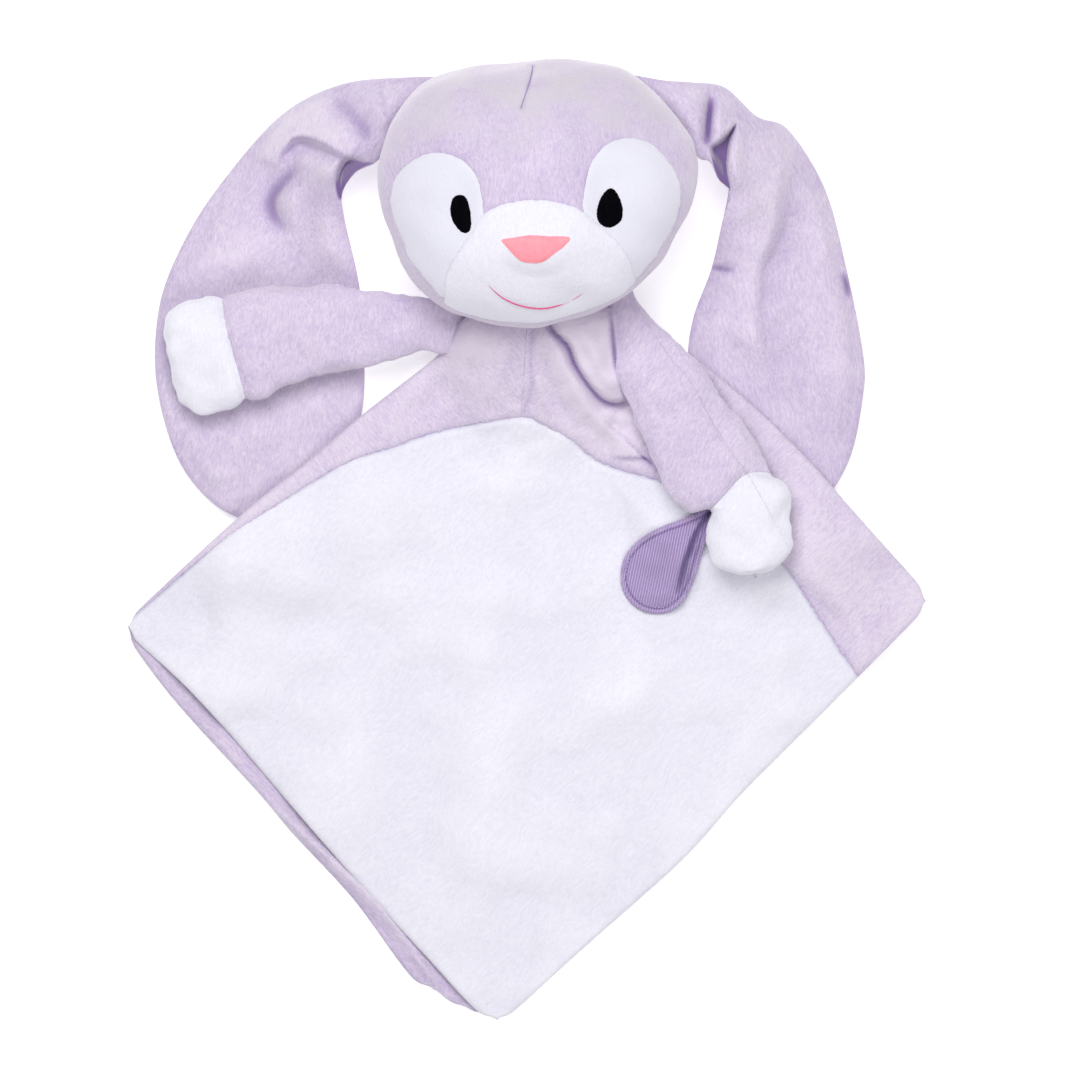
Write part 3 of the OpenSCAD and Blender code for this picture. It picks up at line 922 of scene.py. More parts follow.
def yoke_folds(p):
    """The gathers, the lapped pleat and the shoulder under the chin."""
    h = mound(p, -38, 166, 15, 15, 6.0) + mound(p, 44, 138, 30, 34, 4.5) + folded(p, YOKE_FOLDS)
    deep = inside(p[:, :2], smooth(PLEAT, 70, True))
    h += 6.5 * ramp(-0.4, 2.2, deep) + 4.0 * ramp(1, 13, deep)
    h -= 4.6 * bell(deep + 1.4, 1.9) * ramp(184, 168, p[:, 1])
    h += lap(p, [(50, 94), (58, 93), (67, 93), (78, 91)], 3.6, 1.3, 6, 0.4)
    for k in range(YOKE_GATHERS):
        start = np.array([44.0 + 5.5 * k, 118.0 - 4.5 * k])
        h += fold(p, [start, start + (6, -5), start + (14, -10 - k)], 1.5, -1.3)
    h += 0.4 * ripples(p[:, :2], 18, 9)
    return h * ramp(-40, 20, p[:, 0] + p[:, 1] - 60) * ramp(212, 178, p[:, 1])


def yoke_tones(p):
    """Painted shade in the yoke's creases, as a negative nap."""
    nap = folded(p, YOKE_CREASE_SHADES)
    for k in range(YOKE_COMB):
        start = np.array([40.0 + 4.0 * k, 118.0 - 3.4 * k])
        nap += fold(p, [start, start + (4, -3.4), start + (9, -5 - 0.8 * k)], 0.7, -0.9)
    return nap


def front_height(p):
    """Upper face of the blanket's front, apart from its rounded edge."""
    folds = 1.5 * ripples(p[:, :2], 95, 3) + 0.6 * ripples(p[:, :2], 42, 4) + folded(p, BELLY_FOLDS)
    near_neck = ramp(60, 110, p[:, 1])
    lifted = np.maximum(folds + 1.6, 0) * (1 - 0.6 * near_neck) + yoke_folds(p) * near_neck
    return drape(p) + 3.4 + np.maximum(lifted, 0)


def sheet_from(name, points, faces, top, under, material, seed, nap, even=1.0):
    """A closed sheet over flat points, between two heights. even is the share of the pile's unevenness."""
    upper, lower = points.copy(), points.copy()
    upper[:, 2] = top + relief(len(points), seed) * even
    lower[:, 2] = under
    return piece(name, *closed_sheet(upper, faces, lower), material, np.r_[nap, nap])


class COMFORTER_OT_blanket(bpy.types.Operator):
    """Makes the blanket: belly panel, two yoke pieces and the back panel"""

    bl_idname = "comforter.blanket"
    bl_label = "Blanket"

    def execute(self, context):
        made = self.front()
        made["back_panel"] = self.back()
        for name in ("belly_panel", "back_panel"):
            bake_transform(made[name])
            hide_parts(f"{name}_upper", f"{name}_lower")
        for node in ("yoke_left", "yoke_right"):
            cloth = made[f"{node}_cloth"]
            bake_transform(cloth)
            stands_for(node)
        self.declare(made)
        return {"FINISHED"}

    def front(self):
        """The belly and the two halves of the yoke, cut from one draped front."""
        s = sizes()
        work = surface(*layer(EDGE_LOWER_LEFT, EDGE_LOWER_RIGHT, s.grain))
        seam = smooth(BELLY_SEAM, 90)

        def belly_side(p):
            away, _, side = to_line(p, seam)
            return 0.22 * ripples(p, 4.5, s.seed) - away * side

        cut(work, belly_side)
        side_of_seam = cut(work, lambda p: p[:, 0] + 4.0 - 0.06 * (p[:, 1] - 118))
        right = {f for f, value in side_of_seam.items() if value > 0}
        belly = {f for f in work.faces if belly_side(np.array([f.calc_center_median()[:]]))[0] > 0}
        loop = outline(EDGE_LOWER_LEFT, EDGE_LOWER_RIGHT)
        plans = [
            ("belly_panel", lambda f: f in belly, white_plush(0.7), 21, -0.25),
            ("yoke_left_cloth", lambda f: f not in belly and f not in right, lilac_plush(-0.6), 22, 0.35),
            ("yoke_right_cloth", lambda f: f not in belly and f in right, lilac_plush(0.75), 23, 0.35),
        ]
        made = {}
        for name, keep, material, seed, light in plans:
            points, faces = part_of(work, keep)
            edge = edge_profile(inside(points[:, :2], loop) + 0.4, 4.0)
            to_seam = to_line(points, seam)[0]
            base = front_height(points)
            top = base + s.blanket_cloth * edge - s.seam_depth * bell(to_seam, 1.9)
            # Painted light and shade in the nap: the panel's light share, lighter on fold crests, darker in
            # the valleys, along the belly seam and in the yoke's creases.
            nap = light + (base - drape(points) - 5) / 9 - 0.7 * bell(to_seam, 1.3) + yoke_tones(points)
            made[name] = sheet_from(name, points, faces, top, base + 0.05, material, seed, nap)
        return made

    def back(self):
        """The back layer, whose edge shows along the lower left."""
        flat, faces = layer(BACK_LOWER_LEFT, BACK_LOWER_RIGHT, 1.3 * sizes().grain)
        edge = edge_profile(inside(flat[:, :2], outline(BACK_LOWER_LEFT, BACK_LOWER_RIGHT)) + 0.4, 3.2)
        loose = folded(flat, LOOSE_EDGE_FOLDS)
        middle = drape(flat) + 1.55 + 0.5 * loose
        under = np.maximum(middle - 1.5 * edge, 0.02)
        top = middle + 1.5 * edge + loose
        # Its nap is painted light and shade: lighter on the loose folds' crests, darker in their valleys, and
        # a little darker overall.
        return sheet_from("back_panel", flat, faces, top, under, lilac_plush(-0.8), 24, loose / 4 - 0.25)

    def declare(self, made):
        """Does nothing with the made cloths."""


# --- Ears ---------------------------------------------------------------------------------------

EARS = {
    LEFT: {
        "outer": [(-52, 320), (-71, 320), (-112, 316), (-149, 297), (-185, 256), (-207, 221), (-221, 184),
                  (-223, 139), (-211, 94), (-190, 66), (-164, 52)],
        "inner": [(-82, 284), (-90, 270), (-103, 263), (-111, 251), (-110, 236), (-101, 194), (-98, 146),
                  (-101, 114), (-114, 82), (-136, 58), (-164, 52)],
        "seam": [(-50, 324), (-66, 308), (-84, 282)],
        "nap": 0.25,
    },
    RIGHT: {
        "outer": [(64, 321), (82, 318), (98, 317), (118, 314), (137, 297), (156, 289), (178, 254), (191, 206),
                  (201, 155), (201, 130), (193, 92), (176, 66), (152, 56)],
        "inner": [(98, 276), (103, 271), (109, 269), (114, 259), (122, 250), (117, 236), (110, 206),
                  (99, 176), (96, 148), (102, 112), (114, 80), (132, 62), (152, 56)],
        "seam": [(66, 320), (82, 306), (98, 276)],
        "nap": -0.2,
    },
}
EAR_LONG = 330
EAR_WIDE = 118
EAR_ROOT_HEIGHT = 44.0
EAR_SLOPE = 92.0


LEFT_EAR_FOLDS = [
    ([(-144, 271), (-136, 277), (-127, 275), (-116, 269)], 4.5, -3.4),
    ([(-106, 272), (-112.5, 265), (-113.5, 256), (-112, 246)], 2.0, -4.5),
    ([(-136, 268), (-145, 259), (-153, 248), (-152, 238), (-145, 226)], 4.2, -4.4, 7),
    ([(-138, 256), (-143, 244), (-138, 228)], 8, 3.2),
    ([(-117, 308), (-104, 295), (-92, 281)], 7.5, -5.5, 9),
    ([(-136, 304), (-118, 297), (-102, 284)], 8, 3.2),
    ([(-84, 316), (-84, 302), (-86, 288)], 7, 2.2),
    ([(-164, 240), (-180, 204), (-184, 160)], 18, 3.0),
    ([(-146, 222), (-140, 200), (-150, 180)], 12, -2.0),
    ([(-122, 236), (-116, 210), (-112, 180)], 10, 2.6),
    ([(-190, 118), (-160, 106), (-124, 104)], 14, 2.0),
]
LEFT_EAR_POCKET = [(-107, 272), (-98, 270), (-92, 269), (-103, 263), (-112, 251), (-113.5, 262)]
RIGHT_EAR_FOLDS = [
    ([(110, 312), (108, 294), (107, 278)], 3.2, -7.5),
    ([(119, 310), (115, 298), (112, 286)], 5, 3.0),
    ([(92, 312), (95, 298), (101, 282)], 6, 2.2),
    ([(125, 296), (121, 291), (115, 285.5), (109, 280)], 2.6, 3.4),
    ([(128, 294), (125.5, 280), (124.5, 266), (126, 252)], 3.6, 4.2),
    ([(168, 262), (178, 226), (184, 184), (182, 136)], 13, 2.6),
    ([(110, 208), (117, 206), (125, 205)], 2.6, -3.4),
    ([(106, 176), (118, 160), (122, 138)], 12, 2.6),
    ([(188, 204), (190.5, 197), (192, 188)], 2.8, -3.4),
    ([(197, 150), (193, 186), (185, 222)], 2.2, -1.6),
]
RIGHT_EAR_POCKET = [
    (109, 276.5), (114, 281.5), (120, 287.5), (125, 292.5), (121, 280), (119.5, 266), (121, 252),
]
RIGHT_EAR_LAP = [(140, 146), (136, 178), (138, 206), (146, 226), (150, 250), (154, 282)]


def left_ear_folds(p):
    turned = [(-152, 267), (-149, 274), (-140, 284), (-129, 283.5), (-118, 278), (-106, 271)]
    h = lap(p, turned, 6.5, 2.0, 13, 0.35) + mound(p, -121, 264, 7, 9, 5.5)
    return h + pocket(p, LEFT_EAR_POCKET, 6.0) + folded(p, LEFT_EAR_FOLDS)


def right_ear_folds(p):
    h = pocket(p, [*RIGHT_EAR_POCKET, (115, 258)], 8.5)
    return h + lap(p, RIGHT_EAR_LAP, 5.5, 4.0, 15, 0.4) + folded(p, RIGHT_EAR_FOLDS)


EAR_FOLDS = {LEFT: left_ear_folds, RIGHT: right_ear_folds}


# Painted shade under the turned lip, in the pocket and in the creases of the left ear.
def left_ear_tones(p):
    turned = [(-150, 271), (-149, 274), (-140, 284), (-129, 283.5), (-118, 278), (-106, 271)]
    nap = lap(p, turned, -1.5, 4.5, 0.9, 0.35)
    nap += pocket(p, [(-106, 271), (-98, 269.5), (-92, 268.5), (-103, 263), (-111, 252), (-112.5, 263)], 0.9)
    return nap + folded(p, [
        ([(-106.5, 272), (-112, 265.5), (-113.5, 256), (-112, 247)], 1.6, -2.0, None, 0.3),
        ([(-136, 268), (-145, 259), (-153, 248), (-152, 238), (-145, 226)], 3.4, -0.75, 5),
        ([(-118, 306), (-106, 297), (-97, 285), (-92, 272)], 6.5, -0.5, 9),
        ([(-90, 320), (-86, 302), (-82, 284)], 1.4, -0.5),
    ])


# Painted shade in the pocket, beside the lapped fold and in the creases of the right ear.
def right_ear_tones(p):
    nap = pocket(p, [*RIGHT_EAR_POCKET, (114, 258)], 1.5, 1.0)
    nap += lap(p, RIGHT_EAR_LAP, -0.55, 14, 1.5, 0.4)
    return nap + folded(p, [
        ([(110, 309), (108, 294), (107, 279)], 2.2, -1.6),
        ([(110, 207), (117, 205.5), (125, 204.5)], 2.0, -0.9),
        ([(188, 204), (190.5, 197), (192, 188)], 2.2, -0.9),
        ([(91, 318), (94, 300), (99, 280)], 1.4, -0.4),
    ])


EAR_FOLD_SHADE = {LEFT: left_ear_tones, RIGHT: right_ear_tones}


class COMFORTER_OT_ears(bpy.types.Operator):
    """Makes both ears, each of a front and a back layer"""

    bl_idname = "comforter.ears"
    bl_label = "Ears"

    def execute(self, context):
        for side, word in ((LEFT, "left"), (RIGHT, "right")):
            self.ear(side, word)
        return {"FINISHED"}

    def ear(self, side, word):
        s = sizes()
        plan = EARS[side]
        long, wide = int(EAR_LONG / s.grain), int(EAR_WIDE / s.grain)
        outer, inner = smooth(plan["outer"], long), smooth(plan["inner"], long)
        even = np.linspace(0, 1, wide)
        v = even - 0.72 * np.sin(2 * np.pi * even) / (2 * np.pi)
        flat = outer[:, None] * (1 - v)[None, :, None] + inner[:, None] * v[None, :, None]
        points = level(flat).reshape(-1, 3)
        rim = np.vstack([outer, inner[::-1][1:]])
        root = to_line(points, smooth(plan["seam"], 12))[0]
        across = np.minimum(inside(points[:, :2], rim[::3]), 40)
        free = ramp(1.0, 8.0, root)
        edge = edge_profile(np.maximum(across, 0) + 0.3 + (1 - free) * 5, 5.0)
        puff = 3.0 * ramp(0, 14, across)
        rise = EAR_ROOT_HEIGHT * wave(root, EAR_SLOPE)
        folds = EAR_FOLDS[side](points) + 0.8 * ripples(points[:, :2], 60, 30 + side)
        folds += 0.35 * ripples(points[:, :2], 22, 40 + side)
        blanket = outline(BACK_LOWER_LEFT, BACK_LOWER_RIGHT)[::2]
        free_end = ramp(10, 34, -inside(points[:, :2], blanket))
        if side == LEFT:
            arm = np.vstack([smooth(ARMS[LEFT]["upper"], 30), smooth(ARMS[LEFT]["lower"], 30)[::-1]])
            free_end *= ramp(3, 22, -inside(points[:, :2], arm))
        lift = np.maximum((folds + puff) * ramp(0, 9, across), -0.8 * rise) * free_end
        middle = 4.0 + rise + np.maximum(lift, -0.8 * rise)
        # Painted light and shade in the nap: lighter on fold crests, darker in valleys, pockets and creases,
        # and darker along the rolled edges.
        nap = (np.clip(folds / 9, -0.5, 0.6) + EAR_FOLD_SHADE[side](points)) * free_end
        nap -= 0.3 * np.exp(-across / 3.0)
        even = ramp(0, 8, across)
        faces = grid_faces(long, wide)
        front = sheet_from(
            f"ear_{word}_front_cloth", points, faces, middle + s.ear_cloth * edge, middle + 0.06,
            lilac_plush(plan["nap"]), 31 + side, nap, even,
        )
        back = sheet_from(
            f"ear_{word}_back_cloth", points, faces, middle - 0.06, np.maximum(middle - 3.8 * edge, 0.05),
            lilac_plush(plan["nap"]), 35 + side, 0 * nap, 0 * even,
        )
        for obj, face in ((front, "front"), (back, "back")):
            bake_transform(obj)
            stands_for(f"ear_{word}_{face}")


# --- Head ---------------------------------------------------------------------------------------

HEAD_MIDDLE = np.array([5.0, 250.0, 61.0])
HEAD_OUTLINE = [
    (101, 262), (100, 281), (92, 293), (79, 308), (64, 321), (47, 327), (29, 330.5), (12, 332), (2, 330.5),
    (-10, 328), (-28, 326), (-50, 322), (-68, 312), (-82, 294), (-89, 275), (-90, 256), (-87, 243),
    (-83, 227), (-75, 206), (-64, 192), (-48, 181), (-36, 176), (-16, 171.5), (4, 170.5), (19, 173.5),
    (39, 179), (51, 184.5), (62, 192), (77, 206), (86, 221), (95, 238), (100, 250),
]
HEAD_HALF = 61.0
# How far it is round the head's rim and over it from back to face
HEAD_ROUND = 560
HEAD_OVER = 330
SIDE_SEAM_HEIGHT = 51.0
MUZZLE = [
    (-26, 237), (-17, 242), (-4, 245), (9, 245.5), (22, 243), (32, 239), (47, 227), (58, 214.5), (63.5, 201),
    (65, 189), (62, 176), (48, 166), (28, 161), (6, 159), (-16, 161), (-36, 167), (-49, 176), (-50, 188),
    (-48.5, 201), (-43, 212), (-35, 224),
]
MUZZLE_LOW = 79.0
PATCHES = {
    LEFT: [(-52, 274), (-43.5, 271.5), (-36, 266.5), (-30, 258), (-27, 243), (-27, 232), (-35, 214),
           (-44, 196), (-50, 187.5), (-58, 195), (-66, 205), (-74, 216.5), (-79.5, 228), (-82.5, 243),
           (-79, 259), (-70, 268.5), (-61, 273)],
    RIGHT: [(59, 282.5), (51, 281), (43.5, 275.5), (37, 265.5), (33.5, 250), (34, 236), (50, 212),
            (60, 197.5), (63, 197), (70.5, 205.5), (80, 217), (86.5, 228), (91, 246.5), (88, 262.5),
            (77.5, 276), (68, 281.5)],
}
EYES = {
    LEFT: [(-40.8, 248.5), (-37, 247), (-34.6, 240), (-33.8, 231), (-35.5, 226.4), (-40, 227), (-44.6, 233),
           (-46, 240), (-44.5, 246.6)],
    RIGHT: [(48.8, 252.4), (53, 249.5), (56.3, 240.5), (55, 233), (48.4, 229.2), (42.5, 232), (41, 238.5),
            (43.8, 247.5)],
}
NOSE = [(-15.6, 221.6), (-9, 222.8), (1.5, 224.2), (13, 223.6), (22, 223.6), (25, 222.2), (21, 217.6),
        (15, 213), (9, 208.8), (3, 208), (-4, 209.2), (-9, 213.6), (-13, 218)]
SMILE = [(-26, 197.5), (-17, 189), (-10, 185), (-3.7, 182.8), (4, 181.4), (12, 181.6), (21, 184.2), (29, 188),
         (35.5, 192.3)]
HEAD_SEAMS = {
    LEFT: [(-58, 322), (-72, 304), (-84, 284), (-88, 270)],
    RIGHT: [(70, 316), (84, 300), (96, 282), (100, 268)],
}
DART = [(3, 326), (1.5, 318), (-1, 310), (-4, 301)]
# Muzzle, nose, both eye sockets and the bridge: middle, width, length and height
HEAD_MOUNDS = [
    (7, 212, 44, 24, 6.5), (5, 219, 20, 11, 3.0), (-40, 238, 15, 18, -3.2), (49, 241, 15, 18, -3.2),
    (6, 249, 30, 9, -1.6),
]
HEAD_FOLDS = [
    ([(-18, 212), (-6, 204), (6, 202), (18, 205), (26, 212)], 3.2, -0.6),
    ([(-30, 200), (-14, 187), (5, 180), (24, 185), (38, 197)], 3.5, -0.9),
]
# Each panel's CAD node, slot, nap turn, least share of the brushed-up colour (a darker white on the eye
# patches), flat cut and area
HEAD_PANELS = {
    "face_cloth": ("face_panel", "lilac_plush", 0.0, 0.0, (0.20, 0.20), 0.0270),
    "muzzle_cloth": ("muzzle_panel", "white_plush", 0.0, 0.0, (0.115, 0.09), 0.0092),
    "eye_patch_left_cloth": ("eye_patch_left", "white_plush", 0.3, 0.8, (0.07, 0.09), 0.0045),
    "eye_patch_right_cloth": ("eye_patch_right", "white_plush", -0.3, 0.8, (0.07, 0.09), 0.0045),
    "head_back_left_cloth": ("head_back_left", "lilac_plush", 0.5, 0.0, (0.13, 0.20), 0.0165),
    "head_back_right_cloth": ("head_back_right", "lilac_plush", -0.5, 0.0, (0.13, 0.20), 0.0165),
}


def head_grid():
    """The stuffed head as a closed grid: rows from the back's middle to the face's middle."""
    s = sizes()
    round_count, rows = int(HEAD_ROUND / s.grain), int(HEAD_OVER / s.grain)
    rim = smooth(HEAD_OUTLINE, round_count, True) - HEAD_MIDDLE[:2]
    angle = np.linspace(-np.pi / 2, np.pi / 2, rows)
    reach = np.cos(angle) ** 0.92
    depth = np.sign(np.sin(angle)) * np.abs(np.sin(angle)) ** 1.04
    grid = np.zeros((rows, round_count, 3))
    grid[..., :2] = HEAD_MIDDLE[:2] + reach[:, None, None] * rim[None]
    grid[..., 2] = HEAD_MIDDLE[2] + (HEAD_HALF - 1.0) * depth[:, None]
    return grid


def panel_seams(p, wide):
    """How near points are to the muzzle's seam or to the part of a patch's seam that it leaves free."""
    muzzle = smooth(MUZZLE, 70, True)
    off_muzzle = -inside(p[:, :2], muzzle)
    near = bell(off_muzzle, wide)
    for side in PATCHES:
        away = np.abs(inside(p[:, :2], smooth(PATCHES[side], 70, True)))
        near = np.maximum(near, bell(away, wide) * ramp(-1.2, 0.4, off_muzzle))
    return near


def head_relief(grid):
    """How far the head's cloth stands out or is drawn in, along its normal."""
    s = sizes()
    p = grid.reshape(-1, 3)
    face = ramp(58, 76, p[:, 2])
    h = sum(mound(p, *row) for row in HEAD_MOUNDS) * face
    h += folded(p, HEAD_FOLDS) * face
    h += 0.7 * ripples(p, 70, 51) + 0.35 * ripples(p, 28, 52)
    dart = to_line(p, smooth(DART, 12))[0]
    h -= 1.3 * bell(dart, 1.7) * face
    h -= 0.38 * s.seam_depth * panel_seams(p, 1.3) * face
    h -= s.seam_depth * bell(p[:, 2] - SIDE_SEAM_HEIGHT, 2.0)
    h -= s.seam_depth * bell(p[:, 0] - HEAD_MIDDLE[0], 2.0) * ramp(48, 40, p[:, 2])
    return h.reshape(grid.shape[:2])


class COMFORTER_OT_head(bpy.types.Operator):
    """Makes the stuffed head: face panel, eye patches, muzzle, two back panels and the filling"""

    bl_idname = "comforter.head"
    bl_label = "Head"

    def execute(self, context):
        s = sizes()
        grid = head_grid()
        normals = grid_normals(grid)
        grid = grid + normals * head_relief(grid)[..., None]
        work = closed_form(grid)
        # The insets' numbers in HEAD_PANELS and their outlines
        insets = {1: MUZZLE, 2: PATCHES[LEFT], 3: PATCHES[RIGHT]}
        insets = {number: smooth(loop, 80, True) for number, loop in insets.items()}

        def in_front(loop):
            def field(p):
                within = inside(p[:, :2], loop) + 0.15 * ripples(p, 5.0, 57)
                return np.minimum(within, (p[:, 2] - MUZZLE_LOW) / 2)
            return field

        cut(work, lambda p: p[:, 2] - SIDE_SEAM_HEIGHT)
        cut(work, lambda p: np.where(p[:, 2] < SIDE_SEAM_HEIGHT + 1, p[:, 0] - HEAD_MIDDLE[0], 5.0))
        for loop in insets.values():
            cut(work, in_front(loop))
        faces = list(work.faces)
        centre = np.array([f.calc_center_median()[:] for f in faces])
        front = centre[:, 2] > SIDE_SEAM_HEIGHT
        label = np.where(front, 0, np.where(centre[:, 0] < HEAD_MIDDLE[0], 4, 5))
        for number in (2, 3, 1):
            label[in_front(insets[number])(centre) > 0] = number
        label = dict(zip(faces, label))
        work.normal_update()
        rough = pile_at(work, s.seed)
        for number, (name, (node, slot, turn, least, flat, area)) in enumerate(HEAD_PANELS.items()):
            top, panel, under = panel_of(label, number, rough, s.plush)
            nap, grey = self.tones(np.vstack([top, under]))
            material = lilac_plush(turn) if slot == "lilac_plush" else white_plush(turn)
            cloth = piece(name, *closed_sheet(top, panel, under), material, nap, np.maximum(grey, least))
            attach(cloth, "head")
            stands_for(node)
        work.free()
        thin = grid[::3, ::3] - normals[::3, ::3] * (s.plush + 2.2)
        uneven = 0.5 * ripples(thin.reshape(-1, 3), 14, 53).reshape(thin.shape[:2])
        thin += normals[::3, ::3] * uneven[..., None]
        filling("head_filling", thin, "head_stuffing", lambda made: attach(made, "head"))
        return {"FINISHED"}

    def tones(self, p):
        """Painted shade in the head's seams and dart, and where its pile is brushed up on the crown, with
        painted sheen.
        """
        # Painted shade: the head a little darker overall, and darker along the muzzle's and patches' seams,
        # the side seams and the dart.
        nap = -0.25 * np.ones(len(p))
        front = ramp(55, 75, p[:, 2])
        nap -= 0.25 * panel_seams(p, 1.1) * front
        for loop in HEAD_SEAMS.values():
            nap -= 0.4 * bell(to_line(p, smooth(loop, 30))[0], 1.2) * front
        nap -= 1.2 * bell(to_line(p, smooth(DART, 12))[0], 1.2)
        # Brushed-up pile with painted sheen: greyer in patches towards the crown, and faintly from the eyes
        # up.
        patchy = ripples(p, 34, 55) + 0.5 * ripples(p, 13, 56)
        grey = ramp(262, 322, p[:, 1]) * (0.45 + 0.5 * ramp(-1.4, 1.3, patchy))
        return nap, grey + 0.2 * ramp(-0.5, 1.8, patchy) * ramp(225, 260, p[:, 1])


SATIN_PITCH = 0.42
# How unevenly the satin's threads end, in millimetres
UNEVEN = 0.12


def chords(loop, pitch, angle, seed):
    """Parallel satin stitches across an outline, from edge to edge."""
    rng = np.random.default_rng(seed)
    turn = np.array([[math.cos(angle), math.sin(angle)], [-math.sin(angle), math.cos(angle)]])
    local = loop @ turn.T
    low, high = local[:, 1].min(), local[:, 1].max()
    lines = []
    for height in np.arange(low + pitch / 2, high, pitch):
        ends = []
        for a, b in zip(local, np.roll(local, -1, 0)):
            if (a[1] > height) != (b[1] > height):
                ends.append(a[0] + (height - a[1]) * (b[0] - a[0]) / (b[1] - a[1]))
        ends.sort()
        for start, stop in zip(ends[::2], ends[1::2]):
            start += rng.normal() * UNEVEN
            stop += rng.normal() * UNEVEN
            count = max(4, int((stop - start) / 1.2))
            line = np.stack([np.linspace(start, stop, count), np.full(count, height)], 1)
            lines.append(line @ turn)
    return lines


class COMFORTER_OT_face(bpy.types.Operator):
    """Embroiders the eyes, the nose, the smile and the dart's seam"""

    bl_idname = "comforter.face"
    bl_label = "Face"

    def execute(self, context):
        c = colours()
        trees = {
            name: tree_of(bpy.data.objects[name])
            for name in ("face_cloth", "muzzle_cloth", "eye_patch_left_cloth", "eye_patch_right_cloth")
        }
        ink = thread_material("ink_satin", c.ink, tuple(0.4 * x for x in c.ink), 0.7)
        rose = thread_material("rose_satin", c.rose, (0.93, 0.28, 0.35), 0.5)
        smile = thread_material("smile_strands", c.smile, (0.6, 0.08, 0.22), 0.5)
        seam = thread_material("seam_strands", c.seam, tuple(0.7 * x for x in c.seam), 0.6)
        for side, word in ((LEFT, "left"), (RIGHT, "right")):
            tree = trees[f"eye_patch_{word}_cloth"]
            loop = smooth(EYES[side], 90, True)
            lines = chords(loop, SATIN_PITCH, 0.35 * side, 60 + side)
            eye = self.satin(f"eye_{word}_satin", lines, tree, loop, ink)
            self.settle(eye, f"eye_{word}", "black_embroidery")
        loop = smooth(NOSE, 120, True)
        lines = chords(loop, SATIN_PITCH, math.radians(84), 64)
        nose = self.satin("nose_satin", lines, trees["muzzle_cloth"], loop, rose)
        self.settle(nose, "nose", "pink_embroidery")
        arc = smooth(SMILE, 44)
        laid = on_top(trees["muzzle_cloth"], arc, 0.0)
        share = np.linspace(0, 1, len(arc))
        sunk = -0.6 + 0.95 * np.sin(np.pi * share) - 0.9 * bell(share - 0.79, 0.07)
        lines = []
        for k in range(-1, 2):
            strand = laid.copy()
            strand[:, 1] += 0.42 * k * np.sin(np.pi * share) ** 0.7
            strand[:, 2] += sunk - 0.12 * abs(k)
            lines.append(strand)
        mouth = threads("smile_thread", lines, 0.34, smile)
        self.settle(mouth, "smile_stitch", "pink_thread")
        dart = on_top(trees["face_cloth"], smooth(DART, 30), 0.15)
        line = stitches("dart_stitches", [dart], 1.7, (0.36, 0.36, 0.95), seam)
        self.settle(line, "forehead_dart", "lilac_thread")
        return {"FINISHED"}

    def satin(self, name, lines, tree, loop, material):
        """Satin threads laid on a padded rise that sinks at its rim."""
        laid = []
        for line in lines:
            deep = np.clip(inside(line, loop), 0, None)
            rise = 0.25 + 0.75 * ramp(0, 2.2, deep)
            points = on_top(tree, line)
            points[:, 2] += rise - 0.25 * bell(deep, 0.3)
            laid.append(points)
        return threads(name, laid, sizes().thread / 2, material)

    def settle(self, obj, node, slot):
        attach(obj, "head")
        stands_for(node)


# --- Arms ---------------------------------------------------------------------------------------

ARM_LONG = 250
ARM_ROUND = 150
ARM_UNDERSIDE = 9.0
# Each arm's edges, wrist, nap turn and heights: share along it, middle height and half thickness
ARMS = {
    LEFT: {
        "upper": [(-34, 182), (-50, 187), (-66, 190), (-84, 190.5), (-101, 193), (-116, 196), (-134, 196.5),
                  (-152, 195), (-166, 193), (-182, 189.5), (-197, 188), (-209, 184.5), (-216.5, 177),
                  (-218, 168)],
        "lower": [(-34, 160), (-50, 156), (-66, 156.5), (-83, 150), (-97, 146), (-112, 143.5), (-128, 140.5),
                  (-143, 137), (-158, 129), (-170, 126), (-183, 120), (-196, 118.5), (-207, 125), (-213, 138),
                  (-216, 152), (-218, 168)],
        "wrist": [(-182, 196), (-183, 186), (-180, 168), (-175, 150), (-167, 120)],
        "heights": [(0.0, 18.0, 4.0), (0.08, 22.0, 6.0), (0.2, 26.5, 9.5), (0.6, 22.5, 12.0),
                    (0.85, 21.5, 12.5), (1.0, 21.5, 12.5)],
        "nap": 0.15,
    },
    RIGHT: {
        "upper": [(62, 194), (70, 182), (78, 172), (88, 163), (107, 142), (121, 124), (133, 108), (142, 92),
                  (151, 79), (156.5, 67), (158.5, 53), (158, 40), (153, 31), (146, 26), (136, 22)],
        "lower": [(44, 186), (47, 174), (49, 156), (54, 138), (63, 117), (72, 97), (80, 79), (87, 66),
                  (95, 59.5), (104, 60), (110, 59), (108.5, 52), (106.5, 43), (109, 33), (114, 27),
                  (124, 22), (136, 22)],
        "wrist": [(98, 54), (106, 59), (112.5, 64.5), (121, 74), (128, 81), (136, 84), (146, 83), (156, 79)],
        "shown_seam": [(60, 196), (66, 184), (72, 173), (86, 152), (99, 136), (110, 115), (121, 97),
                       (132, 82), (140, 68)],
        "heights": [(0.0, 25.0, 6.5), (0.1, 27.0, 8.0), (0.25, 30.0, 10.0), (0.6, 30.8, 12.0),
                    (0.85, 31.0, 12.8), (1.0, 31.0, 12.8)],
        "nap": 0.5,
    },
}


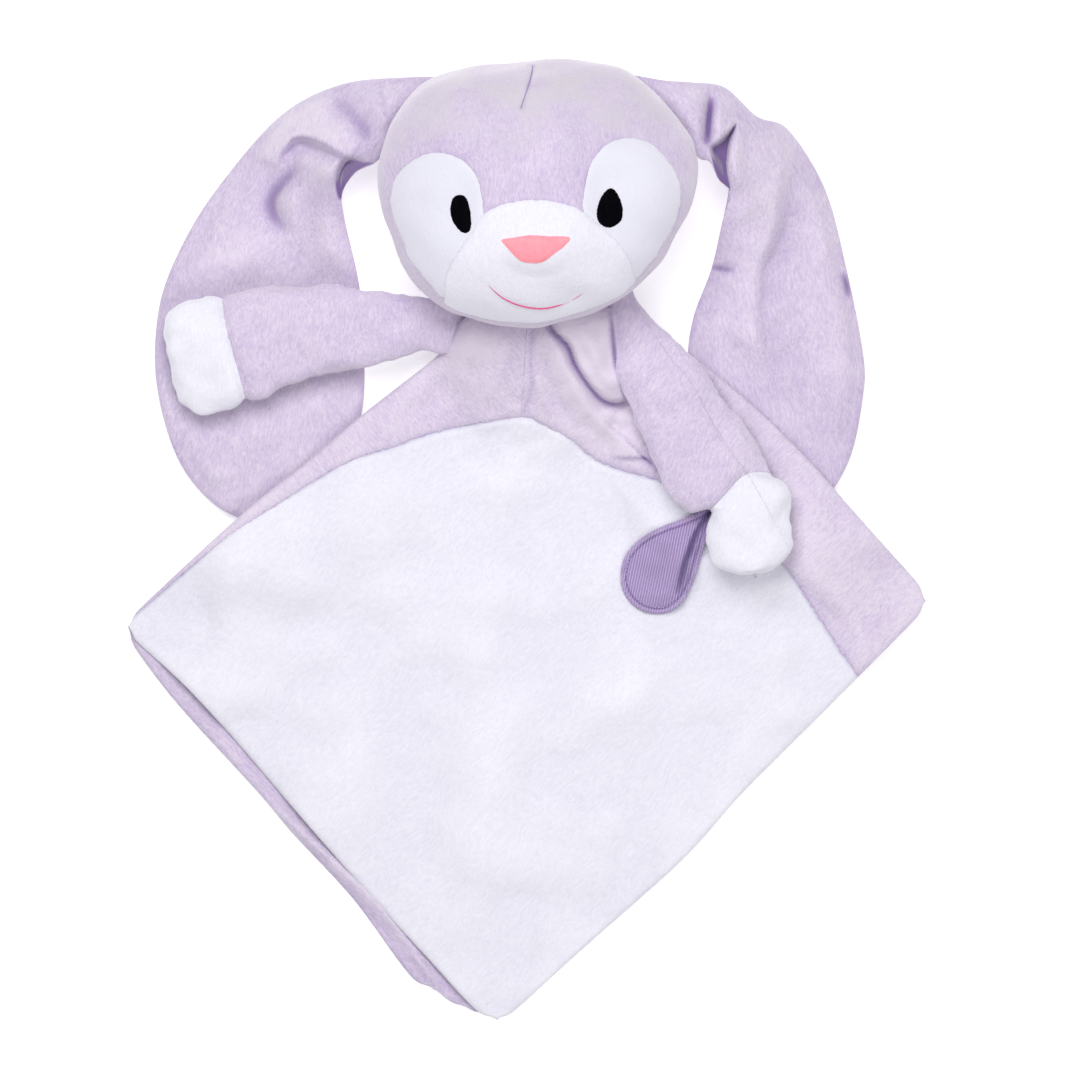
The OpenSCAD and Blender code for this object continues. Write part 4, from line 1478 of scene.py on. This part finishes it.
class COMFORTER_OT_arms(bpy.types.Operator):
    """Makes both arms: sleeve and paw panels over a soft filling"""

    bl_idname = "comforter.arms"
    bl_label = "Arms"

    def execute(self, context):
        for side, word in ((LEFT, "left"), (RIGHT, "right")):
            self.arm(side, word)
        return {"FINISHED"}

    def form(self, side):
        """The arm as a closed grid: rows from the shoulder to the paw's tip, columns round it."""
        s = sizes()
        plan = ARMS[side]
        rows, columns = int(ARM_LONG / s.grain), int(ARM_ROUND / s.grain)
        even = np.linspace(0, 1, rows)
        run = 0.5 * (even + np.sin(even * np.pi / 2))
        fine = np.linspace(0, 1, 400)
        edge_a, edge_b = (
            np.stack([np.interp(run, fine, line[:, k]) for k in (0, 1)], 1)
            for line in (smooth(plan["upper"], len(fine)), smooth(plan["lower"], len(fine)))
        )
        at, lift, half = np.array(plan["heights"]).T
        z = np.interp(run, at, lift)
        width = np.linalg.norm(edge_a - edge_b, axis=1)
        thick = np.minimum(np.interp(run, at, half), 0.5 * width + 0.2)
        close = np.clip((1 - run) / 0.11, 0, 1)
        thick = thick * np.sqrt(1 - (1 - close) ** 2)
        angle = np.linspace(0, 2 * np.pi, columns, endpoint=False)
        reach = np.sign(np.cos(angle)) * np.abs(np.cos(angle)) ** 0.93
        swell = np.sin(angle)
        middle, half_way = (edge_a + edge_b) / 2, (edge_a - edge_b) / 2
        grid = np.zeros((rows, columns, 3))
        grid[..., :2] = middle[:, None] + reach[None, :, None] * half_way[:, None]
        grid[..., 2] = z[:, None] + thick[:, None] * swell[None]
        return grid, run, angle

    def arm(self, side, word):
        s = sizes()
        plan = ARMS[side]
        grid, run, angle = self.form(side)
        normals = grid_normals(grid)
        p = grid.reshape(-1, 3)
        wrist = smooth(plan["wrist"], 30)
        to_wrist = to_line(p, wrist)[0].reshape(grid.shape[:2])
        h = 0.7 * ripples(p, 34, 70 + side).reshape(to_wrist.shape)
        h += 0.35 * ripples(p, 15, 74 + side).reshape(to_wrist.shape)
        near_seam = np.minimum(np.abs(np.angle(np.exp(1j * angle))), np.abs(np.angle(-np.exp(1j * angle))))
        pinch = bell(near_seam, 0.10)[None]
        h -= s.seam_depth * 0.9 * pinch * ramp(0, 0.05, 1 - run)[:, None]
        pucker = np.sin(run * 95 + 1.5 * np.sin(run * 31))[:, None] * bell(near_seam, 0.35)[None]
        h += 0.4 * pucker * ramp(0, 0.08, 1 - run)[:, None]
        h -= 1.5 * s.seam_depth * bell(to_wrist, 2.2)
        h += 0.9 * bell(to_wrist - 8, 6.0)
        h[-1] = h[-1].mean()
        grid = grid + normals * h[..., None]
        grid[..., 2] = np.maximum(grid[..., 2], ARM_UNDERSIDE)
        work = closed_form(grid)

        def past_wrist(q):
            away, _, way = to_line(q, wrist)
            return -away * way

        run_at, height_at, _ = np.array(plan["heights"]).T
        spine_line = grid.mean(1)[:, :2]
        shown_seam = smooth(plan["shown_seam"], 30) if "shown_seam" in plan else None

        def above(q):
            value = q[:, 2] - np.interp(to_line(q, spine_line)[1], run_at, height_at)
            if shown_seam is not None:
                away, _, way = to_line(q, shown_seam)
                value = np.minimum(value, np.where(value > 2.0, -away * way, value))
            return value

        cut(work, past_wrist)
        cut(work, above)
        faces = list(work.faces)
        centre = np.array([f.calc_center_median()[:] for f in faces])
        paw = past_wrist(centre) > 0
        front = above(centre) > 0
        label = dict(zip(faces, paw * 2 + front * 1))
        work.normal_update()
        rough = pile_at(work, 80 + side)
        plans = [
            (f"sleeve_{word}_back", f"arm_{word}_back"), (f"sleeve_{word}_front", f"arm_{word}_front"),
            (f"paw_{word}_back_cloth", f"paw_{word}_back"), (f"paw_{word}_front_cloth", f"paw_{word}_front"),
        ]
        for number, (name, node) in enumerate(plans):
            sleeve = number < 2
            top, panel, under = panel_of(label, number, rough, 0.8 * s.plush)
            material = lilac_plush(plan["nap"]) if sleeve else white_plush(plan["nap"])
            cloth = piece(name, *closed_sheet(top, panel, under), material)
            self.hold(cloth, side, word)
            stands_for(node)
            if number == 1 and shown_seam is not None:
                row = on_top(tree_of(cloth), smooth(plan["shown_seam"][2:7], 40) - (0.9, 0.3), 0.0)
                pale = thread_material("pale_thread", colours().lilac, colours().lilac_deep, 0.6)
                line = stitches(f"sleeve_{word}_stitches", [row], 2.3, (0.3, 0.3, 0.8), pale)
                self.hold(line, side, word)
        work.free()
        core = grid[: int(0.93 * len(grid)) : 3, ::3]
        spine = core.mean(1, keepdims=True)
        thin = spine + 0.7 * (core - spine)
        hold = lambda made: self.hold(made, side, word)
        filling(f"arm_{word}_filling", thin, f"arm_{word}_stuffing", hold)

    def hold(self, obj, side, word):
        """Bakes the piece's transform into its mesh. The heading from the arm's joint is worked out but not
        used; the arm does not bend.
        """
        joint = JOINTS[f"arm_{word}_lift"]
        heading = np.cross(joint["axis"], (0, 0, 1.0))
        heading *= -1 if heading[1] > 0 and side == RIGHT or heading[0] > 0 and side == LEFT else 1
        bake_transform(obj)


# --- Keepsake flap ------------------------------------------------------------------------------

FLAP = [(112.5, 65), (102, 60), (92, 55.5), (82, 52), (71, 46.5), (62, 39), (56.5, 29), (56, 16), (61, 6),
        (70, 0), (82, -1), (92, 5), (98.5, 16), (103, 30), (107, 43), (111, 55)]
FLAP_SLIT = [(110.5, 62), (105, 54), (100.5, 46), (97, 37), (93.5, 27), (90, 12)]
FLAP_RINGS = 84
RIB_ACROSS = np.array([0.98, -0.2])
RIB_PITCH = 1.57


class COMFORTER_OT_flap(bpy.types.Operator):
    """Makes the small ribbed-knit flap with its rolled edge and two rows of topstitching"""

    bl_idname = "comforter.flap"
    bl_label = "Keepsake flap"

    def execute(self, context):
        c = colours()
        loop = smooth(FLAP, 250, True)
        middle = loop.mean(0)
        share = np.linspace(1, 0, FLAP_RINGS)
        points = (middle + share[:, None, None] * (loop - middle)[None]).reshape(-1, 2)
        p = level(points)
        deep = np.clip(inside(points, loop), 0, None)
        edge = edge_profile(deep + 0.15, 1.6)
        slit, along, way = to_line(p, smooth(FLAP_SLIT, 24))
        base = front_height(p) + sizes().blanket_cloth + 0.5
        fold_up = 6.0 * bell(slit, 6.0) * np.where(way > 0, 1.0, 0.9)
        valley = -8.5 * bell(slit, 1.5)
        length = np.sin(np.pi * np.clip(along, 0.02, 0.98)) ** 0.4
        h = (fold_up + valley) * length + 1.6 * ramp(0, 12, deep)
        roll = 0.8 * bell(deep - 1.4, 1.3)
        groove = -0.4 * bell(deep - 3.4, 0.6)
        h = np.maximum(h, -0.2) + 0.5 * ripples(points, 20, 91) + roll + groove
        ribs = np.sin(2 * np.pi * (points @ RIB_ACROSS) / RIB_PITCH) * ramp(3.8, 4.8, deep)
        h += 0.1 * ribs
        # The ribs' pattern in the nap, with painted shade in the slit and in the groove inside the rolled
        # edge, and painted light on the rolled edge.
        nap = 0.05 + 0.25 * ribs - 1.5 * bell(slit, 2.2) * length + 0.3 * ramp(3.2, 2.2, deep)
        nap -= 0.9 * bell(deep - 3.4, 0.7)
        top, under = p.copy(), p.copy()
        top[:, 2] = base + 2.2 * edge + h
        under[:, 2] = base + np.maximum(h - 0.4, 0) * 0.9
        faces = grid_faces(FLAP_RINGS, len(loop), True)
        flap = piece("knit_flap", *closed_sheet(top, faces, under), knit_material(), np.r_[nap, nap])
        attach(flap, "blanket")
        stands_for("keepsake_flap")
        tree = tree_of(flap)
        rows = []
        for inset in (0.955, 0.875):
            ring = middle + (loop - middle) * inset
            rows.append(on_top(tree, np.vstack([ring, ring[:1]]), 0.25))
        thread = thread_material("knit_thread", c.knit_thread, tuple(0.6 * x for x in c.knit_thread), 0.6)
        line = stitches("flap_topstitching", rows, 2.4, (0.36, 0.36, 0.95), thread)
        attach(line, "blanket")
        return {"FINISHED"}


# --- Stage --------------------------------------------------------------------------------------

# In metres
FLOOR_REACH = 4.0
FLOOR_HEIGHT = -0.0006
CAMERA_HEIGHT = 14.0
VIEW_SPAN = 0.648
VIEW_MIDDLE = (0.0072, 0.0432)


class COMFORTER_OT_stage(bpy.types.Operator):
    """Sets the white floor, the soft lights and the camera straight above"""

    bl_idname = "comforter.stage"
    bl_label = "Stage"

    def execute(self, context):
        floor_mesh = bpy.data.meshes.new("floor")
        corners = [(-1, -1), (1, -1), (1, 1), (-1, 1)]
        corners = [(FLOOR_REACH * x, FLOOR_REACH * y, FLOOR_HEIGHT) for x, y in corners]
        floor_mesh.from_pydata(corners, [], [(0, 1, 2, 3)])
        paper = bpy.data.materials.new("white_floor")
        paper.use_nodes = True
        body = paper.node_tree.nodes["Principled BSDF"]
        body.inputs["Base Color"].default_value = (0.8, 0.8, 0.805, 1)
        body.inputs["Roughness"].default_value = 0.9
        body.inputs["Emission Color"].default_value = (1.0, 1.0, 1.0, 1)
        body.inputs["Emission Strength"].default_value = 0.42
        floor_mesh.materials.append(paper)
        floor = bpy.data.objects.new("floor", floor_mesh)
        context.scene.collection.objects.link(floor)
        world = bpy.data.worlds.new("studio")
        context.scene.world = world
        world.use_nodes = True
        world.node_tree.nodes["Background"].inputs["Color"].default_value = (0.97, 0.97, 1.0, 1)
        world.node_tree.nodes["Background"].inputs["Strength"].default_value = 0.40
        self.softbox("softbox_top", (-0.2, 0.8, 1.6), 0.9, 21.0)
        self.softbox("softbox_side", (0.45, -0.7, 1.6), 1.2, 11.5)
        context.scene.view_settings.view_transform = "Standard"
        camera = bpy.data.cameras.new("camera")
        camera.lens = camera.sensor_width * CAMERA_HEIGHT / VIEW_SPAN
        camera.clip_end = 40.0
        eye = bpy.data.objects.new("camera", camera)
        eye.location = (*VIEW_MIDDLE, CAMERA_HEIGHT)
        context.scene.collection.objects.link(eye)
        context.scene.camera = eye
        return {"FINISHED"}

    def softbox(self, name, place, size, power):
        data = bpy.data.lights.new(name, "AREA")
        data.size = size
        data.energy = power
        data.color = (1.0, 0.99, 0.98)
        lamp = bpy.data.objects.new(name, data)
        lamp.location = place
        lamp.rotation_euler = (Vector((0, 0.05, 0)) - Vector(place)).to_track_quat("-Z", "Y").to_euler()
        bpy.context.scene.collection.objects.link(lamp)


class COMFORTER_PT_panel(bpy.types.Panel):
    """Shows the comforter's sizes, colours and building steps in the sidebar"""

    bl_idname = "COMFORTER_PT_panel"
    bl_label = "Bunny comforter"
    bl_space_type = "VIEW_3D"
    bl_region_type = "UI"
    bl_category = "Comforter"

    def draw(self, context):
        for group in (context.scene.comforter_sizes, context.scene.comforter_colours):
            box = self.layout.box()
            for name in group.bl_rna.properties.keys():
                if name not in ("rna_type", "name"):
                    box.prop(group, name)
        for step in STEPS:
            self.layout.operator(step.bl_idname)


STEPS = (
    COMFORTER_OT_stage,
    COMFORTER_OT_blanket,
    COMFORTER_OT_ears,
    COMFORTER_OT_head,
    COMFORTER_OT_face,
    COMFORTER_OT_arms,
    COMFORTER_OT_flap,
)
CLASSES = (ComforterSizes, ComforterColours, *STEPS, COMFORTER_PT_panel)


def register():
    for item in CLASSES:
        bpy.utils.register_class(item)
    bpy.types.Scene.comforter_sizes = PointerProperty(type=ComforterSizes)
    bpy.types.Scene.comforter_colours = PointerProperty(type=ComforterColours)


def unregister():
    del bpy.types.Scene.comforter_sizes
    del bpy.types.Scene.comforter_colours
    for item in reversed(CLASSES):
        bpy.utils.unregister_class(item)


def main():
    register()
    bpy.ops.comforter.stage()
    bpy.ops.comforter.blanket()
    bpy.ops.comforter.ears()
    bpy.ops.comforter.head()
    bpy.ops.comforter.face()
    bpy.ops.comforter.arms()
    bpy.ops.comforter.flap()


if __name__ == "__main__":
    main()
